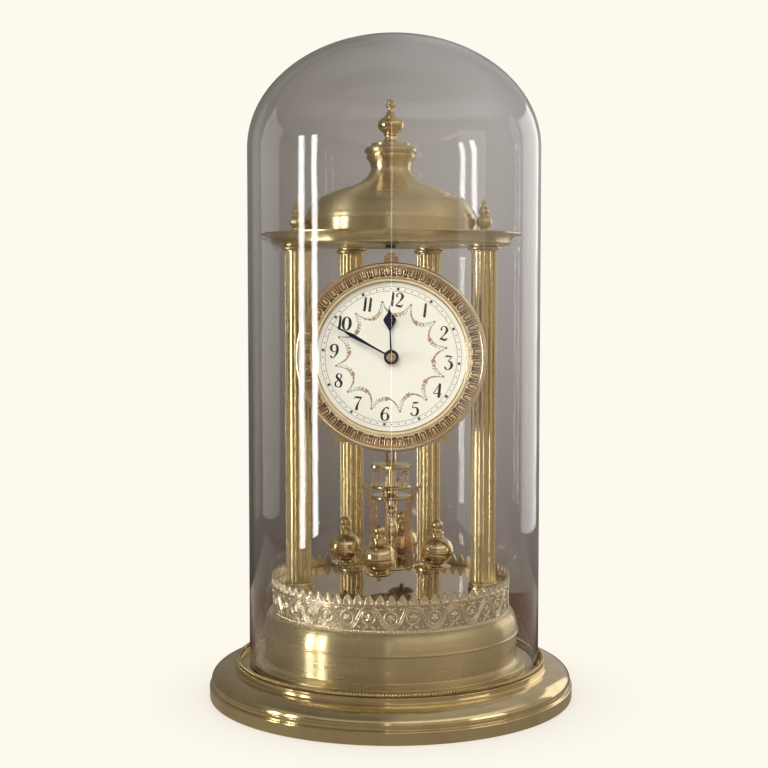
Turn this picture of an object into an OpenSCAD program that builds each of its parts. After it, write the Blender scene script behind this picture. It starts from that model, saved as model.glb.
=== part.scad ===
// Anniversary clock with a torsion pendulum, under a glass dome.
// Millimetres, +Z up, front towards -Y, origin at the centre of the foot's underside.

/* [Foot] */
// Height of the foot's upright fascia
fascia_h = 7.5; // [5:0.5:10]
// Height of the groove floor that the dome stands on
floor_z = 20; // [18:0.5:26]
// Width of the rounded moulding between the fascia and the step
ovolo_w = 11.8; // [8:0.2:16]
// Radius of a bead of the beaded ring
bead_r = 1; // [0.8:0.1:1.5]
// Wall of the spun brass shells
shell_w = 1.5; // [1:0.1:2]

/* [Plinth] */
// Radius of the plinth's drum
plinth_r = 77; // [64:1:93]
// Height of the plinth above the groove floor
plinth_h = 32; // [26:1:40]
// How far the plinth's flange stands out
flange_w = 5.8; // [3:0.2:8]
// Height of the gallery band without its cresting
gallery_h = 16.4; // [12:0.2:20]
// Height of the gallery's cresting
crest_h = 5.6; // [3:0.2:8]
// Number of leaves in the cresting
crest_count = 72; // [48:4:96]
// Step in from the drum to the gallery
gallery_step = 4.9; // [3:0.1:7]

/* [Columns] */
// Length of a column
column_h = 204.5; // [195:0.5:260]
// Radius of a column
column_r = 7.5; // [6:0.1:9]
// Number of flutes
flute_count = 16; // [12:2:24]
// Angle of the front columns in front of the side axis
front_angle = 17.3; // [10:0.1:30]
// Angle of the back columns behind the side axis
back_angle = 64.4; // [55:0.1:70]
// Radius of a column's capital
capital_r = 9.8; // [8.5:0.1:11]
// Height of a column's base and capital
collar_h = 4.2; // [3:0.1:6]
// Radius of a tie rod
rod_r = 1.5; // [1:0.1:2.5]

/* [Canopy and roof] */
// Height of the canopy
canopy_h = 6.5; // [5:0.5:9]
// How far the canopy's lip stands inside the plinth's flange
canopy_set_in = 4.6; // [2:0.2:8]
// Radius of the roof's drum
roof_r = 52.4; // [44:0.2:56]
// Height of the roof's drum
roof_drum_h = 8.8; // [6:0.2:12]
// Height of the roof from its drum to its neck
roof_h = 36.4; // [30:0.2:44]
// Radius of the roof's neck
neck_r = 12.1; // [10:0.1:15]

/* [Dome] */
// Glass thickness
glass_w = 2.3; // [2:0.1:4]
// Gap between the plinth's flange and the glass
dome_gap = 2.6; // [2:0.1:6]
// Height of the glass above the finial
dome_head = 35.1; // [10:0.1:50]
// Height of the dome's rounded top
dome_crown_h = 67.5; // [50:0.5:86]
// Gap between the glass and the groove's outer wall
groove_gap = 3.3; // [1:0.1:4]
// How far the dome stands to the right of the middle of its groove
dome_shift = 1.9; // [0:0.1:2]

/* [Dial] */
// Radius of the enamel dial
dial_r = 43.7; // [37:0.1:48]
// Width of the bezel outside the dial
bezel_w = 9.9; // [8:0.1:12]
// Distance from the canopy down to the dial's centre
dial_drop = 65; // [60:0.5:75]
// Distance of the dial's face in front of the suspension
dial_y = 50; // [49.5:0.5:52]
// Gap between the minute hand's tip and the dial's edge
hand_gap = 4.6; // [2:0.2:8]
// Angle of the minute hand, clockwise from upright
minute_angle = 299.2; // [0:0.1:360]
// Angle of the hour hand, clockwise from upright
hour_angle = 357.7; // [0:0.1:360]

/* [Movement] */
// Width of the movement's plates
plate_w = 66; // [62:1:72]
// Height of the movement's plates
plate_h = 88; // [86:1:96]
// Thickness of the movement's plates
plate_t = 2; // [1.5:0.1:2.5]
// Gap between the plates
plate_gap = 30; // [29:0.5:32]
// Distance of the back plate's rear face in front of the suspension
plate_y = 10; // [9:0.5:12]
// Running clearance of a pivot or pipe, on the radius
run = 0.05; // [0.03:0.01:0.1]
// Radius of a train arbor
arbor_r = 0.8; // [0.7:0.05:0.8]
// Radius of an arbor's pivot
pivot_r = 0.55; // [0.4:0.05:0.6]

/* [Train] */
// Teeth and module of the barrel
barrel_teeth = 96; // [84:1:108]
barrel_m = 0.46; // [0.44:0.01:0.48]
// Teeth of the first intermediate pinion
pinion1_teeth = 9; // [8:1:10]
// Teeth and module of the first intermediate wheel
wheel1_teeth = 84; // [72:1:90]
wheel1_m = 0.33; // [0.31:0.01:0.35]
// Teeth of the second intermediate pinion
pinion2_teeth = 8; // [8:1:10]
// Teeth and module of the second intermediate wheel
wheel2_teeth = 80; // [72:1:84]
wheel2_m = 0.3; // [0.28:0.01:0.31]
// Teeth of the centre pinion
centre_pinion_teeth = 8; // [8:1:10]
// Teeth and module of the centre wheel
centre_teeth = 48; // [40:4:56]
centre_m = 0.4; // [0.38:0.01:0.42]
// Teeth and module of the third wheel
third_teeth = 48; // [40:4:56]
third_m = 0.36; // [0.34:0.01:0.38]
// Teeth of the third and escape pinions
train_pinion_teeth = 12; // [10:1:14]
// Teeth of the escape wheel
escape_teeth = 15; // [12:1:18]
// Radius of the escape wheel
escape_r = 8; // [7:0.1:8.5]

/* [Pendulum] */
// Distance of a weight's centre from the suspension
weight_ring_r = 28.8; // [26:0.2:32]
// Radius of a weight
weight_r = 10; // [8:0.2:11]
// Half the height of a weight
weight_half_h = 8.9; // [7:0.1:10]
// Gap between the deck and the pendulum's lowest point
pendulum_gap = 7.7; // [4:0.1:15]
// Height of the pendulum's spindle above the weights' centres
spindle_h = 52; // [48:0.5:60]
// Radius of the regulating disc
disc_r = 12; // [10:0.2:14]
// Turn of the pendulum at rest
pendulum_angle = -14; // [-40:1:40]

/* [Hidden] */
$fn = 64;

brass = "#c8b06a";
column_brass = "#bfa858";
bezel_brass = "#b08a50";
copper_brass = "#a87048";
steel = "#8a8f98";
blued = "#1c2438";

// Radii of the stand, from the plinth outwards
flange_r = plinth_r + flange_w;
dome_in_r = flange_r + dome_gap;
dome_r = dome_in_r + glass_w;
groove_r = dome_r + groove_gap;
bead_ring_r = groove_r + bead_r + 0.2;
step_r = bead_ring_r + bead_r + 1.3;
ovolo_r = step_r + 2.5;
fascia_r = ovolo_r + ovolo_w;
foot_r = fascia_r + 1.2;
seat_h = 2;
ovolo_z = fascia_h + 2.8;
step_z = floor_z + seat_h - 1;
core_r = fascia_r - 8.4;

// Radii and heights of the plinth, gallery and deck
plinth_top = floor_z + plinth_h;
gallery_r = plinth_r - gallery_step;
gallery_w = 0.8;
deck_r = gallery_r - gallery_w - 0.1;
deck_t = 1.5;
deck_z = plinth_top + gallery_h - 1.4;

// Places of the columns
ring_r = deck_r - capital_r - 4;
column_angles = [180 + front_angle, -front_angle, 180 - back_angle, back_angle];
canopy_z = deck_z + column_h;
canopy_top = canopy_z + canopy_h;
canopy_r = flange_r - canopy_set_in;
flute_r = column_r * 0.155;
rod_bore_r = rod_r + 0.1;

// Heights of the roof, cap and finial
roof_drum_top = canopy_top + roof_drum_h;
neck_top = roof_drum_top + roof_h;
cap_top = neck_top + 8.8;
finial_top = cap_top + 26.7;
bolt_r = 2;
bolt_bore_r = bolt_r + 0.1;

// Heights of the dome
dome_top = finial_top + dome_head + glass_w;
dome_spring_z = dome_top - dome_crown_h;

// Places of the movement
dial_z = canopy_z - dial_drop;
bezel_r = dial_r + bezel_w;
plate_bottom = dial_z - 49.5;
plate_top = plate_bottom + plate_h;
back_y = -plate_y;
back_front_y = back_y - plate_t;
front_back_y = back_front_y - plate_gap;
front_y = front_back_y - plate_t;
pillar_r = 3.5;
pillar_in = 5;
pillar_places = [for (x = [-1, 1], z = [plate_bottom + pillar_in, plate_top - pillar_in])
    [x * (plate_w / 2 - pillar_in), z]];

// Centres of the arbors in the plates, as [x, z]
centre_at = [0, dial_z];
barrel_at = [9, dial_z - 25];
wheel1_at = barrel_at + polar(barrel_m * (barrel_teeth + pinion1_teeth) / 2, 153);
wheel2_at = meet(wheel1_at, wheel1_m * (wheel1_teeth + pinion2_teeth) / 2,
    centre_at, wheel2_m * (wheel2_teeth + centre_pinion_teeth) / 2);
third_at = centre_at + polar(centre_m * (centre_teeth + train_pinion_teeth) / 2, 45);
escape_gap = third_m * (third_teeth + train_pinion_teeth) / 2;
escape_at = [0, third_at[1] + sqrt(escape_gap * escape_gap - third_at[0] * third_at[0])];
anchor_at = escape_at + [0, escape_r + 3.6];
motion_m = 0.5;
hour_m = 0.4;
motion_pinion = 12;
minute_teeth = 36;
hour_teeth = 48;
minute_at = centre_at + polar(motion_m * (motion_pinion + minute_teeth) / 2, 200);

// Planes of the wheels, as the front face's distance along Y
wheel_t = 1;
barrel_front = front_back_y + 1;
barrel_l = 18;
barrel_back = barrel_front + barrel_l;
wheel1_y = back_front_y - 2.5;
wheel2_y = back_front_y - 5.5;
centre_y = back_front_y - 8.6;
third_y = back_front_y - 18;
escape_y = back_front_y - 24;
cannon_y = front_y - 1.7;
hour_y = cannon_y - 1.8;

// Turns that bring each wheel's teeth into mesh with the one before it
mesh1 = mesh(barrel_at, barrel_teeth, 0, wheel1_at, pinion1_teeth);
mesh2 = mesh(wheel1_at, wheel1_teeth, 0, wheel2_at, pinion2_teeth);
mesh3 = mesh(wheel2_at, wheel2_teeth, 0, centre_at, centre_pinion_teeth);
mesh4 = mesh(centre_at, centre_teeth, 0, third_at, train_pinion_teeth);
mesh5 = mesh(third_at, third_teeth, 0, escape_at, train_pinion_teeth);
mesh6 = mesh(centre_at, motion_pinion, 0, minute_at, minute_teeth);
mesh7 = mesh(minute_at, motion_pinion, 0, centre_at, hour_teeth);

// Hands and their pipes
hour_pipe_r = 2.9;
cannon_pipe_r = 1.8;
centre_post_r = 1;
hour_hand_y = -dial_y - 2.9;
minute_hand_y = -dial_y - 4.9;
hand_t = 0.7;
hand_reach = dial_r - hand_gap;
hand_drawn = 41;
hand_s = hand_reach / hand_drawn;

// Heights of the suspension and pendulum
top_block_z = dial_z + 53;
top_block_h = 7.5;
weight_z = deck_z + pendulum_gap + weight_half_h + 4.4;
spindle_top = weight_z + spindle_h;
bottom_block_z = spindle_top + 2;
disc_z = spindle_top - 2.8;
crown_z = spindle_top - 21.5;
carrier_z = weight_z - weight_half_h - 2.4;
fork_z = anchor_at[1] + 15;
spring_bore_r = 0.5;

function polar(r, a) = [r * cos(a), r * sin(a)];

// Left-hand meeting point of two circles
function meet(a, ra, b, rb) =
    let (v = b - a, d = norm(v), along = (ra * ra - rb * rb + d * d) / (2 * d),
        side = sqrt(ra * ra - along * along))
    a + v * along / d + [-v[1], v[0]] * side / d;

// Turn of wheel b that puts its gaps on wheel a's teeth, where a is turned by turn_a
function mesh(a, teeth_a, turn_a, b, teeth_b) =
    let (dir = atan2(b[1] - a[1], b[0] - a[0]))
    dir + 180 - 180 / teeth_b + (dir - turn_a) * teeth_a / teeth_b;

// Points of an elliptical arc
function arc(c, rx, rz, a0, a1, n = 8) =
    [for (i = [0:n]) let (a = a0 + (a1 - a0) * i / n) c + [rx * cos(a), rz * sin(a)]];

// Tooth outline: straight-sided teeth with working backlash, narrower on a pinion than on a wheel
function teeth(n, m) =
    let (r = n * m / 2, p = 360 / n, pinion = n <= 14, foot = pinion ? 0.17 : 0.19, tip = pinion ? 0.06 : 0.07)
    [for (i = [0:n - 1], k = [[-foot, -1.2], [-tip, 0.7], [tip, 0.7], [foot, -1.2]])
        polar(r + k[1] * m, (i + k[0]) * p)];

module lathe(points) {
    rotate_extrude($fn = 128) polygon(points);
}

module ring(r_in, r_out, z0, h) {
    lathe([[r_in, z0], [r_out, z0], [r_out, z0 + h], [r_in, z0 + h]]);
}

// Turns a flat outline in X and Z into a plate from y0 forwards by t
module plate(y0, t, at = [0, 0]) {
    translate([at[0], y0, at[1]]) rotate([90, 0, 0]) linear_extrude(t) children();
}

// Round bar or hole along Y, from y0 forwards by l
module bar(at, y0, l, r) {
    translate([at[0], y0, at[1]]) rotate([90, 0, 0]) cylinder(h = l, r = r);
}

module each_column() {
    for (a = column_angles) translate(concat(polar(ring_r, a), [0])) children();
}

// Spoked wheel along Y, with its front face at y - wheel_t
module wheel(at, n, m, turn, y, hub_r, bore_r, spokes = 5, t = wheel_t) {
    rim_r = n * m / 2 - m * 1.15 - 1.1;
    plate(y, t, at) difference() {
        rotate(turn) polygon(teeth(n, m));
        circle(r = bore_r);
        if (rim_r > hub_r + 2) difference() {
            circle(r = rim_r);
            circle(r = hub_r);
            for (i = [0:spokes - 1]) rotate(turn + i * 360 / spokes)
                translate([0, -0.6]) square([rim_r + 1, 1.2]);
        }
    }
}

// Arbor between the plates, with a toothed pinion
module arbor(at, pinion_n, pinion_m, turn, pinion_y, pinion_l) {
    bar(at, back_y - 0.2, plate_gap + 2 * plate_t - 0.4, pivot_r);
    bar(at, back_front_y - 0.3, plate_gap - 0.6, arbor_r);
    plate(pinion_y, pinion_l, at) rotate(turn) polygon(teeth(pinion_n, pinion_m));
}

// ---- Stand ----

module foot_shell() {
    land = step_r - 0.6;
    outside = concat([[fascia_r - 9, 0], [foot_r - 0.4, 0], [foot_r, 0.4], [foot_r, fascia_h - 0.6],
        [foot_r - 0.6, fascia_h], [fascia_r - 0.4, fascia_h + 0.9], [fascia_r - 0.4, ovolo_z - 0.4]],
        arc([ovolo_r, ovolo_z], ovolo_w, floor_z - 2.3 - ovolo_z, 0, 90, 10),
        [[step_r + 0.5, floor_z - 2], [step_r, floor_z - 1.5], [step_r, step_z],
        [land, step_z + 0.6], [groove_r, step_z + 0.6], [groove_r, floor_z],
        [ring_r - 16, floor_z]]);
    inside = concat([[ring_r - 16, floor_z - shell_w], [groove_r - 1, floor_z - shell_w],
        [ovolo_r - 1, floor_z - 2.3 - shell_w]],
        arc([ovolo_r, ovolo_z], ovolo_w - shell_w, floor_z - 2.3 - shell_w - ovolo_z, 90, 0, 10),
        [[fascia_r - shell_w, fascia_h + 0.5], [foot_r - shell_w, fascia_h - shell_w],
        [foot_r - shell_w, shell_w], [fascia_r - 9, shell_w]]);
    color(brass) difference() {
        lathe(concat(outside, inside));
        each_column() translate([0, 0, floor_z - 3]) cylinder(h = 6, r = rod_bore_r);
    }
}

module foot_core() {
    color("#4a4a4c") difference() {
        union() {
            cylinder(h = 3, r = fascia_r - 9.2, $fn = 128);
            ring(ring_r - 10, ring_r + 10, 0, floor_z - shell_w);
        }
        each_column() translate([0, 0, 6]) cylinder(h = floor_z, r = rod_bore_r);
    }
}

module bead_ring() {
    color(brass) lathe([for (p = arc([bead_ring_r, step_z + 0.6 + bead_r], bead_r, bead_r, 0, 345, 23)) p]);
}

module plinth_drum() {
    r = plinth_r;
    z = floor_z;
    edge_z = plinth_top - 12;
    outside = concat([[r - shell_w - 6, z], [flange_r - 0.8, z], [flange_r, z + 0.8], [flange_r, z + 2.2],
        [flange_r - 0.8, z + 3], [r + 1.2, z + 3], [r, z + 4.2], [r, edge_z - 0.5],
        [r + 0.5, edge_z], [r + 0.5, plinth_top - 4]],
        arc([r - 3.5, plinth_top - 4], 4, 4, 0, 90, 6),
        [[deck_r, plinth_top], [deck_r, deck_z - deck_t], [deck_r - 6, deck_z - deck_t]]);
    inside = [[deck_r - 6, deck_z - deck_t - shell_w], [deck_r - shell_w, deck_z - deck_t - shell_w],
        [deck_r - shell_w, plinth_top - shell_w], [r - 4, plinth_top - shell_w],
        [r - shell_w, plinth_top - 5], [r - shell_w, z + shell_w], [r - shell_w - 6, z + shell_w]];
    color(brass) lathe(concat(outside, inside));
}

module gallery_band() {
    notch = 360 / crest_count;
    color(brass) difference() {
        ring(deck_r + 0.1, gallery_r, plinth_top, gallery_h + crest_h);
        for (i = [0:crest_count - 1]) rotate((i + 0.5) * notch)
            translate([deck_r - 2, 0, plinth_top + gallery_h + crest_h + 0.4]) rotate([0, 90, 0])
                linear_extrude(5) polygon([[-1, -2.6], [0, -2.6], [crest_h, 0], [0, 2.6], [-1, 2.6]]);
    }
}

module deck_plate() {
    color(brass) difference() {
        translate([0, 0, deck_z - deck_t]) cylinder(h = deck_t, r = deck_r - 0.02, $fn = 128);
        each_column() translate([0, 0, deck_z - 3]) cylinder(h = 6, r = rod_bore_r);
    }
}

// A fluted tube that stands on the deck and carries the canopy
module column(i) {
    a = column_angles[i];
    color(column_brass) translate(concat(polar(ring_r, a), [deck_z])) rotate(a)
        linear_extrude(column_h) difference() {
            circle(r = column_r);
            circle(r = rod_bore_r);
            for (k = [0:flute_count - 1]) rotate((k + 0.5) * 360 / flute_count)
                translate([column_r + flute_r * 0.25, 0]) circle(r = flute_r, $fn = 24);
        }
}

module column_front_left() { column(0); }
module column_front_right() { column(1); }
module column_back_left() { column(2); }
module column_back_right() { column(3); }

// Round collars slipped over the columns' feet and heads
module column_collars() {
    bore = column_r + 0.03;
    base_r = column_r + 1.5;
    color(column_brass) each_column() {
        lathe([[bore, deck_z], [base_r, deck_z], [base_r, deck_z + 1.6], [base_r - 0.6, deck_z + 2.2],
            [base_r - 0.3, deck_z + 3.4], [base_r - 0.9, deck_z + collar_h], [bore, deck_z + collar_h]]);
        lathe(concat([[bore, canopy_z - collar_h], [capital_r - 1.6, canopy_z - collar_h]],
            arc([capital_r - 1.4, canopy_z - 2.4], 1.4, 1.4, -80, 80, 6),
            [[capital_r - 1.2, canopy_z], [bore, canopy_z]]));
    }
}

module tie_rods() {
    color(steel) each_column()
        translate([0, 0, 6]) cylinder(h = canopy_top + 7 - 6, r = rod_r);
}

module urn_finials() {
    z = canopy_top;
    bulb_r = min(4.8, ring_r - roof_r - 0.2);
    color(brass) each_column() lathe([[rod_bore_r, z], [2.6, z], [2.8, z + 1.2], [2.2, z + 2], [3.4, z + 3],
        [bulb_r - 0.4, z + 4.8], [bulb_r, z + 6.6], [bulb_r - 0.4, z + 8.4], [3, z + 10], [2.2, z + 11], [2.9, z + 11.8],
        [2.6, z + 13.4], [1.7, z + 15.6], [1.3, z + 17], [1.7, z + 17.8], [1.2, z + 19.2],
        [0, z + 19.6], [0, z + 7.2], [rod_bore_r, z + 7.2]]);
}

// ---- Canopy and roof ----

module canopy() {
    low_r = canopy_r - 6.5;
    z = canopy_z;
    outside = concat([[bolt_bore_r, z], [low_r - 1, z], [low_r, z + 0.6]],
        arc([canopy_r - 0.8, z + 0.6], canopy_r - 0.8 - low_r, canopy_h - 1.6, 180, 90, 6),
        [[canopy_r, canopy_top - 0.9], [canopy_r, canopy_top], [roof_r - 6, canopy_top]]);
    inside = [[roof_r - 6, canopy_top - shell_w], [canopy_r - 5.5, canopy_top - shell_w],
        [low_r - 1.2, z + shell_w], [bolt_bore_r, z + shell_w]];
    color(brass) difference() {
        lathe(concat(outside, inside));
        each_column() translate([0, 0, z - 1]) cylinder(h = canopy_h + 2, r = rod_bore_r);
    }
}

// Roof outline above its drum: a bell that sweeps up into a flared neck
module roof() {
    z = roof_drum_top;
    w = shell_w;
    s = roof_r / 52.4;
    h = roof_h / 36.4;
    bell = [[51.5, 2.1], [48.2, 7.9], [44.6, 11.5], [36.4, 15.5], [30, 18], [25.9, 19.3], [19.9, 21.4],
        [16.3, 23.9], [13.9, 26.2]];
    outside = concat([[roof_r - w, canopy_top], [roof_r + 0.6, canopy_top], [roof_r + 0.6, canopy_top + 1],
        [roof_r, canopy_top + 1.4], [roof_r, z - 0.6], [roof_r - 0.3, z]],
        [for (p = bell) [max(p[0] * s, neck_r + 1.5), z + p[1] * h]],
        [[neck_r, neck_top - 6.6], [neck_r + 0.6, neck_top - 2.7], [neck_r + 2.6, neck_top]]);
    under = [for (i = [len(bell) - 1:-1:0]) if (bell[i][0] * s > neck_r + 5)
        [bell[i][0] * s - w, z + bell[i][1] * h - w]];
    inside = concat([[bolt_bore_r, neck_top], [bolt_bore_r, z + 20 * h - w]], under, [[roof_r - w, z - w]]);
    color(brass) lathe(concat(outside, inside));
}

// Long bolt with a round head under the canopy, which holds the roof, cap and finial
module roof_bolt() {
    color(blued) {
        translate([0, 0, canopy_z - 1.6]) cylinder(h = 1.6, r = 3.2);
        translate([0, 0, canopy_z - 1.6]) cylinder(h = cap_top + 6 - canopy_z + 1.6, r = bolt_r);
    }
}

module roof_cap() {
    z = neck_top;
    r = neck_r + 2.6;
    color(brass) lathe(concat([[bolt_bore_r, z], [r - 0.6, z]], arc([r - 0.9, z + 1.25], 0.9, 1.25, -70, 70, 5),
        [[r - 0.2, z + 2.6]], arc([r - 0.8, z + 4.6], 1.9, 1.9, -80, 80, 8),
        [[r - 2.6, z + 6.9], [r - 3.1, z + 7.6], [r - 3.1, cap_top - 0.5], [r - 3.6, cap_top], [bolt_bore_r, cap_top]]));
}

module roof_finial() {
    z = cap_top;
    color(brass) lathe(concat([[bolt_bore_r, z], [5.2, z], [5.2, z + 1], [4, z + 2.2], [3.4, z + 4], [3.5, z + 4.6],
        [4.2, z + 5.1], [3.9, z + 5.8], [4.6, z + 6.4]],
        arc([0, z + 11.2], 7.9, 5.6, -52, 50, 10),
        [[3.4, z + 17.2], [2.2, z + 19.2], [1.9, z + 21], [2.4, z + 21.7]],
        arc([0, z + 22.9], 3.3, 1.2, -30, 40, 5),
        [[1.7, z + 24], [2.4, z + 25.1], [1.9, z + 26.2], [0.8, z + 26.7], [0, z + 26.7], [0, z + 6.4], [bolt_bore_r, z + 6.4]]));
}

module glass_dome() {
    z = dome_spring_z;
    color("#cfd8dc", 0.3) translate([dome_shift, 0, 0]) lathe(concat([[dome_in_r, floor_z], [dome_r, floor_z]],
        arc([0, z], dome_r, dome_crown_h, 0, 90, 24),
        arc([0, z], dome_in_r, dome_crown_h - glass_w, 90, 0, 24)));
}

// ---- Movement frame ----

// Flat bar behind the back plate, saddled on the front columns
module movement_bridge() {
    bar_h = 14;
    bar_t = 3;
    x = ring_r * cos(front_angle);
    y = -ring_r * sin(front_angle);
    seat_y = y + column_r + 0.03;
    color(brass) difference() {
        union() {
            translate([-x - 5, back_y + 0.02, dial_z - bar_h / 2]) cube([2 * x + 10, bar_t, bar_h]);
            for (s = [-1, 1]) translate([s * x - 5, seat_y - 4, dial_z - bar_h / 2])
                cube([10, back_y + bar_t - seat_y + 4, bar_h]);
        }
        for (s = [-1, 1]) {
            translate([s * x, y, dial_z - bar_h]) cylinder(h = 2 * bar_h, r = column_r + 0.03);
            bar([s * x, dial_z], back_y + 5, 12, 1.1);
            bar([s * plate_w * 0.38, dial_z], back_y + 5, 8, 1.1);
        }
        bar(centre_at, back_y + 5, 8, 2.5);
        bar(wheel2_at, back_y + 5, 8, 2.5);
    }
}

// Screws that hold the bridge, the plates and the click
module movement_screws() {
    x = ring_r * cos(front_angle);
    seat_y = -ring_r * sin(front_angle) + column_r;
    module screw(at, y, l, head_r) {
        bar(at, y + 1.2, 1.2, head_r);
        bar(at, y, l, 1);
    }
    color(steel) {
        for (s = [-1, 1]) {
            screw([s * x, dial_z], back_y + 3.02, back_y + 3.02 - seat_y, 2);
            screw([s * plate_w * 0.38, dial_z], back_y + 3.02, 3.02 + plate_t, 2);
        }
        for (p = pillar_places) {
            screw(p, back_y, 5, 2.4);
            translate([0, 2 * front_y, 0]) mirror([0, 1, 0]) screw(p, front_y, 5, 2.4);
        }
        screw(click_at, back_y + 2.6, 2.6 + plate_t, 1.8);
        screw(click_spring_at, back_y + 1.4, 1.4 + plate_t, 1.5);
        for (s = [-1, 1]) screw([s * 4, plate_top - 4], back_y + 2.02, 2.02 + plate_t, 1.3);
    }
}

// Flat outline of a plate, pierced for the arbors named in holes as [place, radius]
module plate_outline(holes) {
    difference() {
        translate([-plate_w / 2, plate_bottom]) square([plate_w, plate_h]);
        for (h = holes) translate(h[0]) circle(r = h[1]);
        for (p = pillar_places) translate(p) circle(r = 1.1);
    }
}

pivot_holes = [for (p = [wheel1_at, wheel2_at, third_at, escape_at]) [p, pivot_r + run]];
click_at = barrel_at + [-14.5, -7];
click_spring_at = barrel_at + [-18, 8];
dial_feet = [for (a = [35, 145, 270]) centre_at + polar(34, a)];

module back_plate() {
    color(brass) plate(back_y, plate_t) difference() {
        plate_outline(concat(pivot_holes, [[barrel_at, 2.5 + run], [centre_at, pivot_r + run],
            [anchor_at, arbor_r + run], [click_at, 1.1], [click_spring_at, 1.1]]));
        for (s = [-1, 1]) {
            translate([s * 4, plate_top - 4]) circle(r = 1.1);
            translate([s * plate_w * 0.38, dial_z]) circle(r = 1.1);
        }
    }
}

module front_plate() {
    color(brass) {
        plate(front_back_y, plate_t) difference() {
            plate_outline(concat(pivot_holes, [[barrel_at, 2.5 + run], [centre_at, centre_post_r + run],
                [anchor_at, pivot_r + run], [minute_at, 0.9]]));
            for (p = dial_feet) translate(p) circle(r = 2.05);
        }
        bar(minute_at, front_back_y, plate_t + 3.9, 0.9);
    }
}

module plate_pillars() {
    color(brass) for (p = pillar_places) difference() {
        union() {
            bar(p, back_front_y, plate_gap, pillar_r - 0.6);
            bar(p, back_front_y, 3, pillar_r);
            bar(p, front_back_y + 3, 3, pillar_r);
        }
        bar(p, back_front_y + 1, plate_gap + 2, 1.1);
    }
}

module dial() {
    color("#f3efe0") plate(-dial_y + 1, 1, centre_at) difference() {
        circle(r = dial_r, $fn = 128);
        circle(r = 3.4);
    }
}

// Bezel, dial pan and its three feet
module bezel() {
    back = dial_y - 1.8;
    color(bezel_brass) {
        translate([0, 0, dial_z]) rotate([90, 0, 0]) lathe(concat([[30, back], [bezel_r - 1.6, back],
            [bezel_r - 0.6, back + 1], [bezel_r - 0.6, dial_y + 4.4]],
            arc([bezel_r - 2, dial_y + 6], 2, 2, -40, 150, 9),
            [[bezel_r - 4.2, dial_y + 6.2], [bezel_r - 6.6, dial_y + 6.6], [bezel_r - 9.2, dial_y + 5],
            [bezel_r - 9.6, dial_y + 4.4], [bezel_r - 10, dial_y + 4.2], [dial_r - 1.3, dial_y + 0.6],
            [dial_r - 1.3, dial_y + 0.02], [dial_r + 0.05, dial_y + 0.02], [dial_r + 0.05, dial_y - 1], [30, dial_y - 1]]));
        for (p = dial_feet) bar(p, front_back_y, back + front_back_y + 0.1, 2);
    }
}

// ---- Going train ----

module barrel() {
    n = barrel_teeth;
    m = barrel_m;
    body_r = n * m / 2 - 2.6;
    y = barrel_back;
    color(brass) {
        plate(y, 1.4, barrel_at) difference() {
            polygon(teeth(n, m));
            circle(r = 2.5 + run);
        }
        plate(y - 1.4, barrel_l - 2.4, barrel_at) difference() {
            circle(r = body_r, $fn = 96);
            circle(r = body_r - 1);
        }
        plate(y - barrel_l + 1, 1, barrel_at) difference() {
            circle(r = body_r, $fn = 96);
            circle(r = 2.5 + run);
        }
    }
}

// Flat spiral spring inside the barrel
module mainspring() {
    turns = 6;
    n = turns * 20;
    r_out = barrel_teeth * barrel_m / 2 - 3.8;
    r_in = 4.6;
    function spiral(w) = [for (i = [0:n]) polar(r_in + (r_out - r_in - 1) * i / n + w, i * 18)];
    far = spiral(0.8);
    color(steel) plate(barrel_back - 2, barrel_l - 3.6, barrel_at)
        polygon(concat(spiral(0), [for (i = [n:-1:0]) far[i]]));
}

module winding_arbor() {
    color(steel) {
        bar(barrel_at, back_y + 1.6, plate_gap + 2 * plate_t + 1.6, 2.5);
        plate(barrel_back - 2, barrel_l - 3.6, barrel_at) circle(r = 3.8);
        plate(back_y + 10, 8.4, barrel_at) square(3.2, center = true);
    }
}

module ratchet_wheel() {
    n = 20;
    r = 8;
    color(steel) plate(back_y + 1.6, 1.4, barrel_at) difference() {
        polygon([for (i = [0:n - 1], k = [[0, r], [0.85, r - 1.4]]) polar(k[1], (i + k[0]) * 360 / n)]);
        circle(r = 2.5 + run);
    }
}

// Pawl, lying just clear of the ratchet's tooth tips
module click() {
    v = barrel_at - click_at;
    reach = norm(v) - 8 - 0.12;
    color(steel) plate(back_y + 1.6, 1.4, click_at) rotate(atan2(v[1], v[0])) difference() {
        union() {
            circle(r = 2.6);
            polygon([[0, -2.4], [reach - 0.5, -0.8], [reach, 0.5], [0, 2.4]]);
        }
        circle(r = 1 + run);
    }
}

module click_spring() {
    v = click_at - click_spring_at;
    color(steel) plate(back_y + 1.4, 1, click_spring_at) rotate(atan2(v[1], v[0])) difference() {
        union() {
            circle(r = 2.2);
            translate([0, 1.4]) square([norm(v) - 3.2, 0.6]);
        }
        circle(r = 1.05);
    }
}

module intermediate_wheel_1() { color(brass) wheel(wheel1_at, wheel1_teeth, wheel1_m, 0, wheel1_y, 3, arbor_r); }
module intermediate_wheel_2() { color(brass) wheel(wheel2_at, wheel2_teeth, wheel2_m, 0, wheel2_y, 3, arbor_r); }
module centre_wheel() { color(brass) wheel(centre_at, centre_teeth, centre_m, 0, centre_y, 2.6, arbor_r, 4); }
module third_wheel() { color(brass) wheel(third_at, third_teeth, third_m, 0, third_y, 2.6, arbor_r, 4); }

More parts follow.
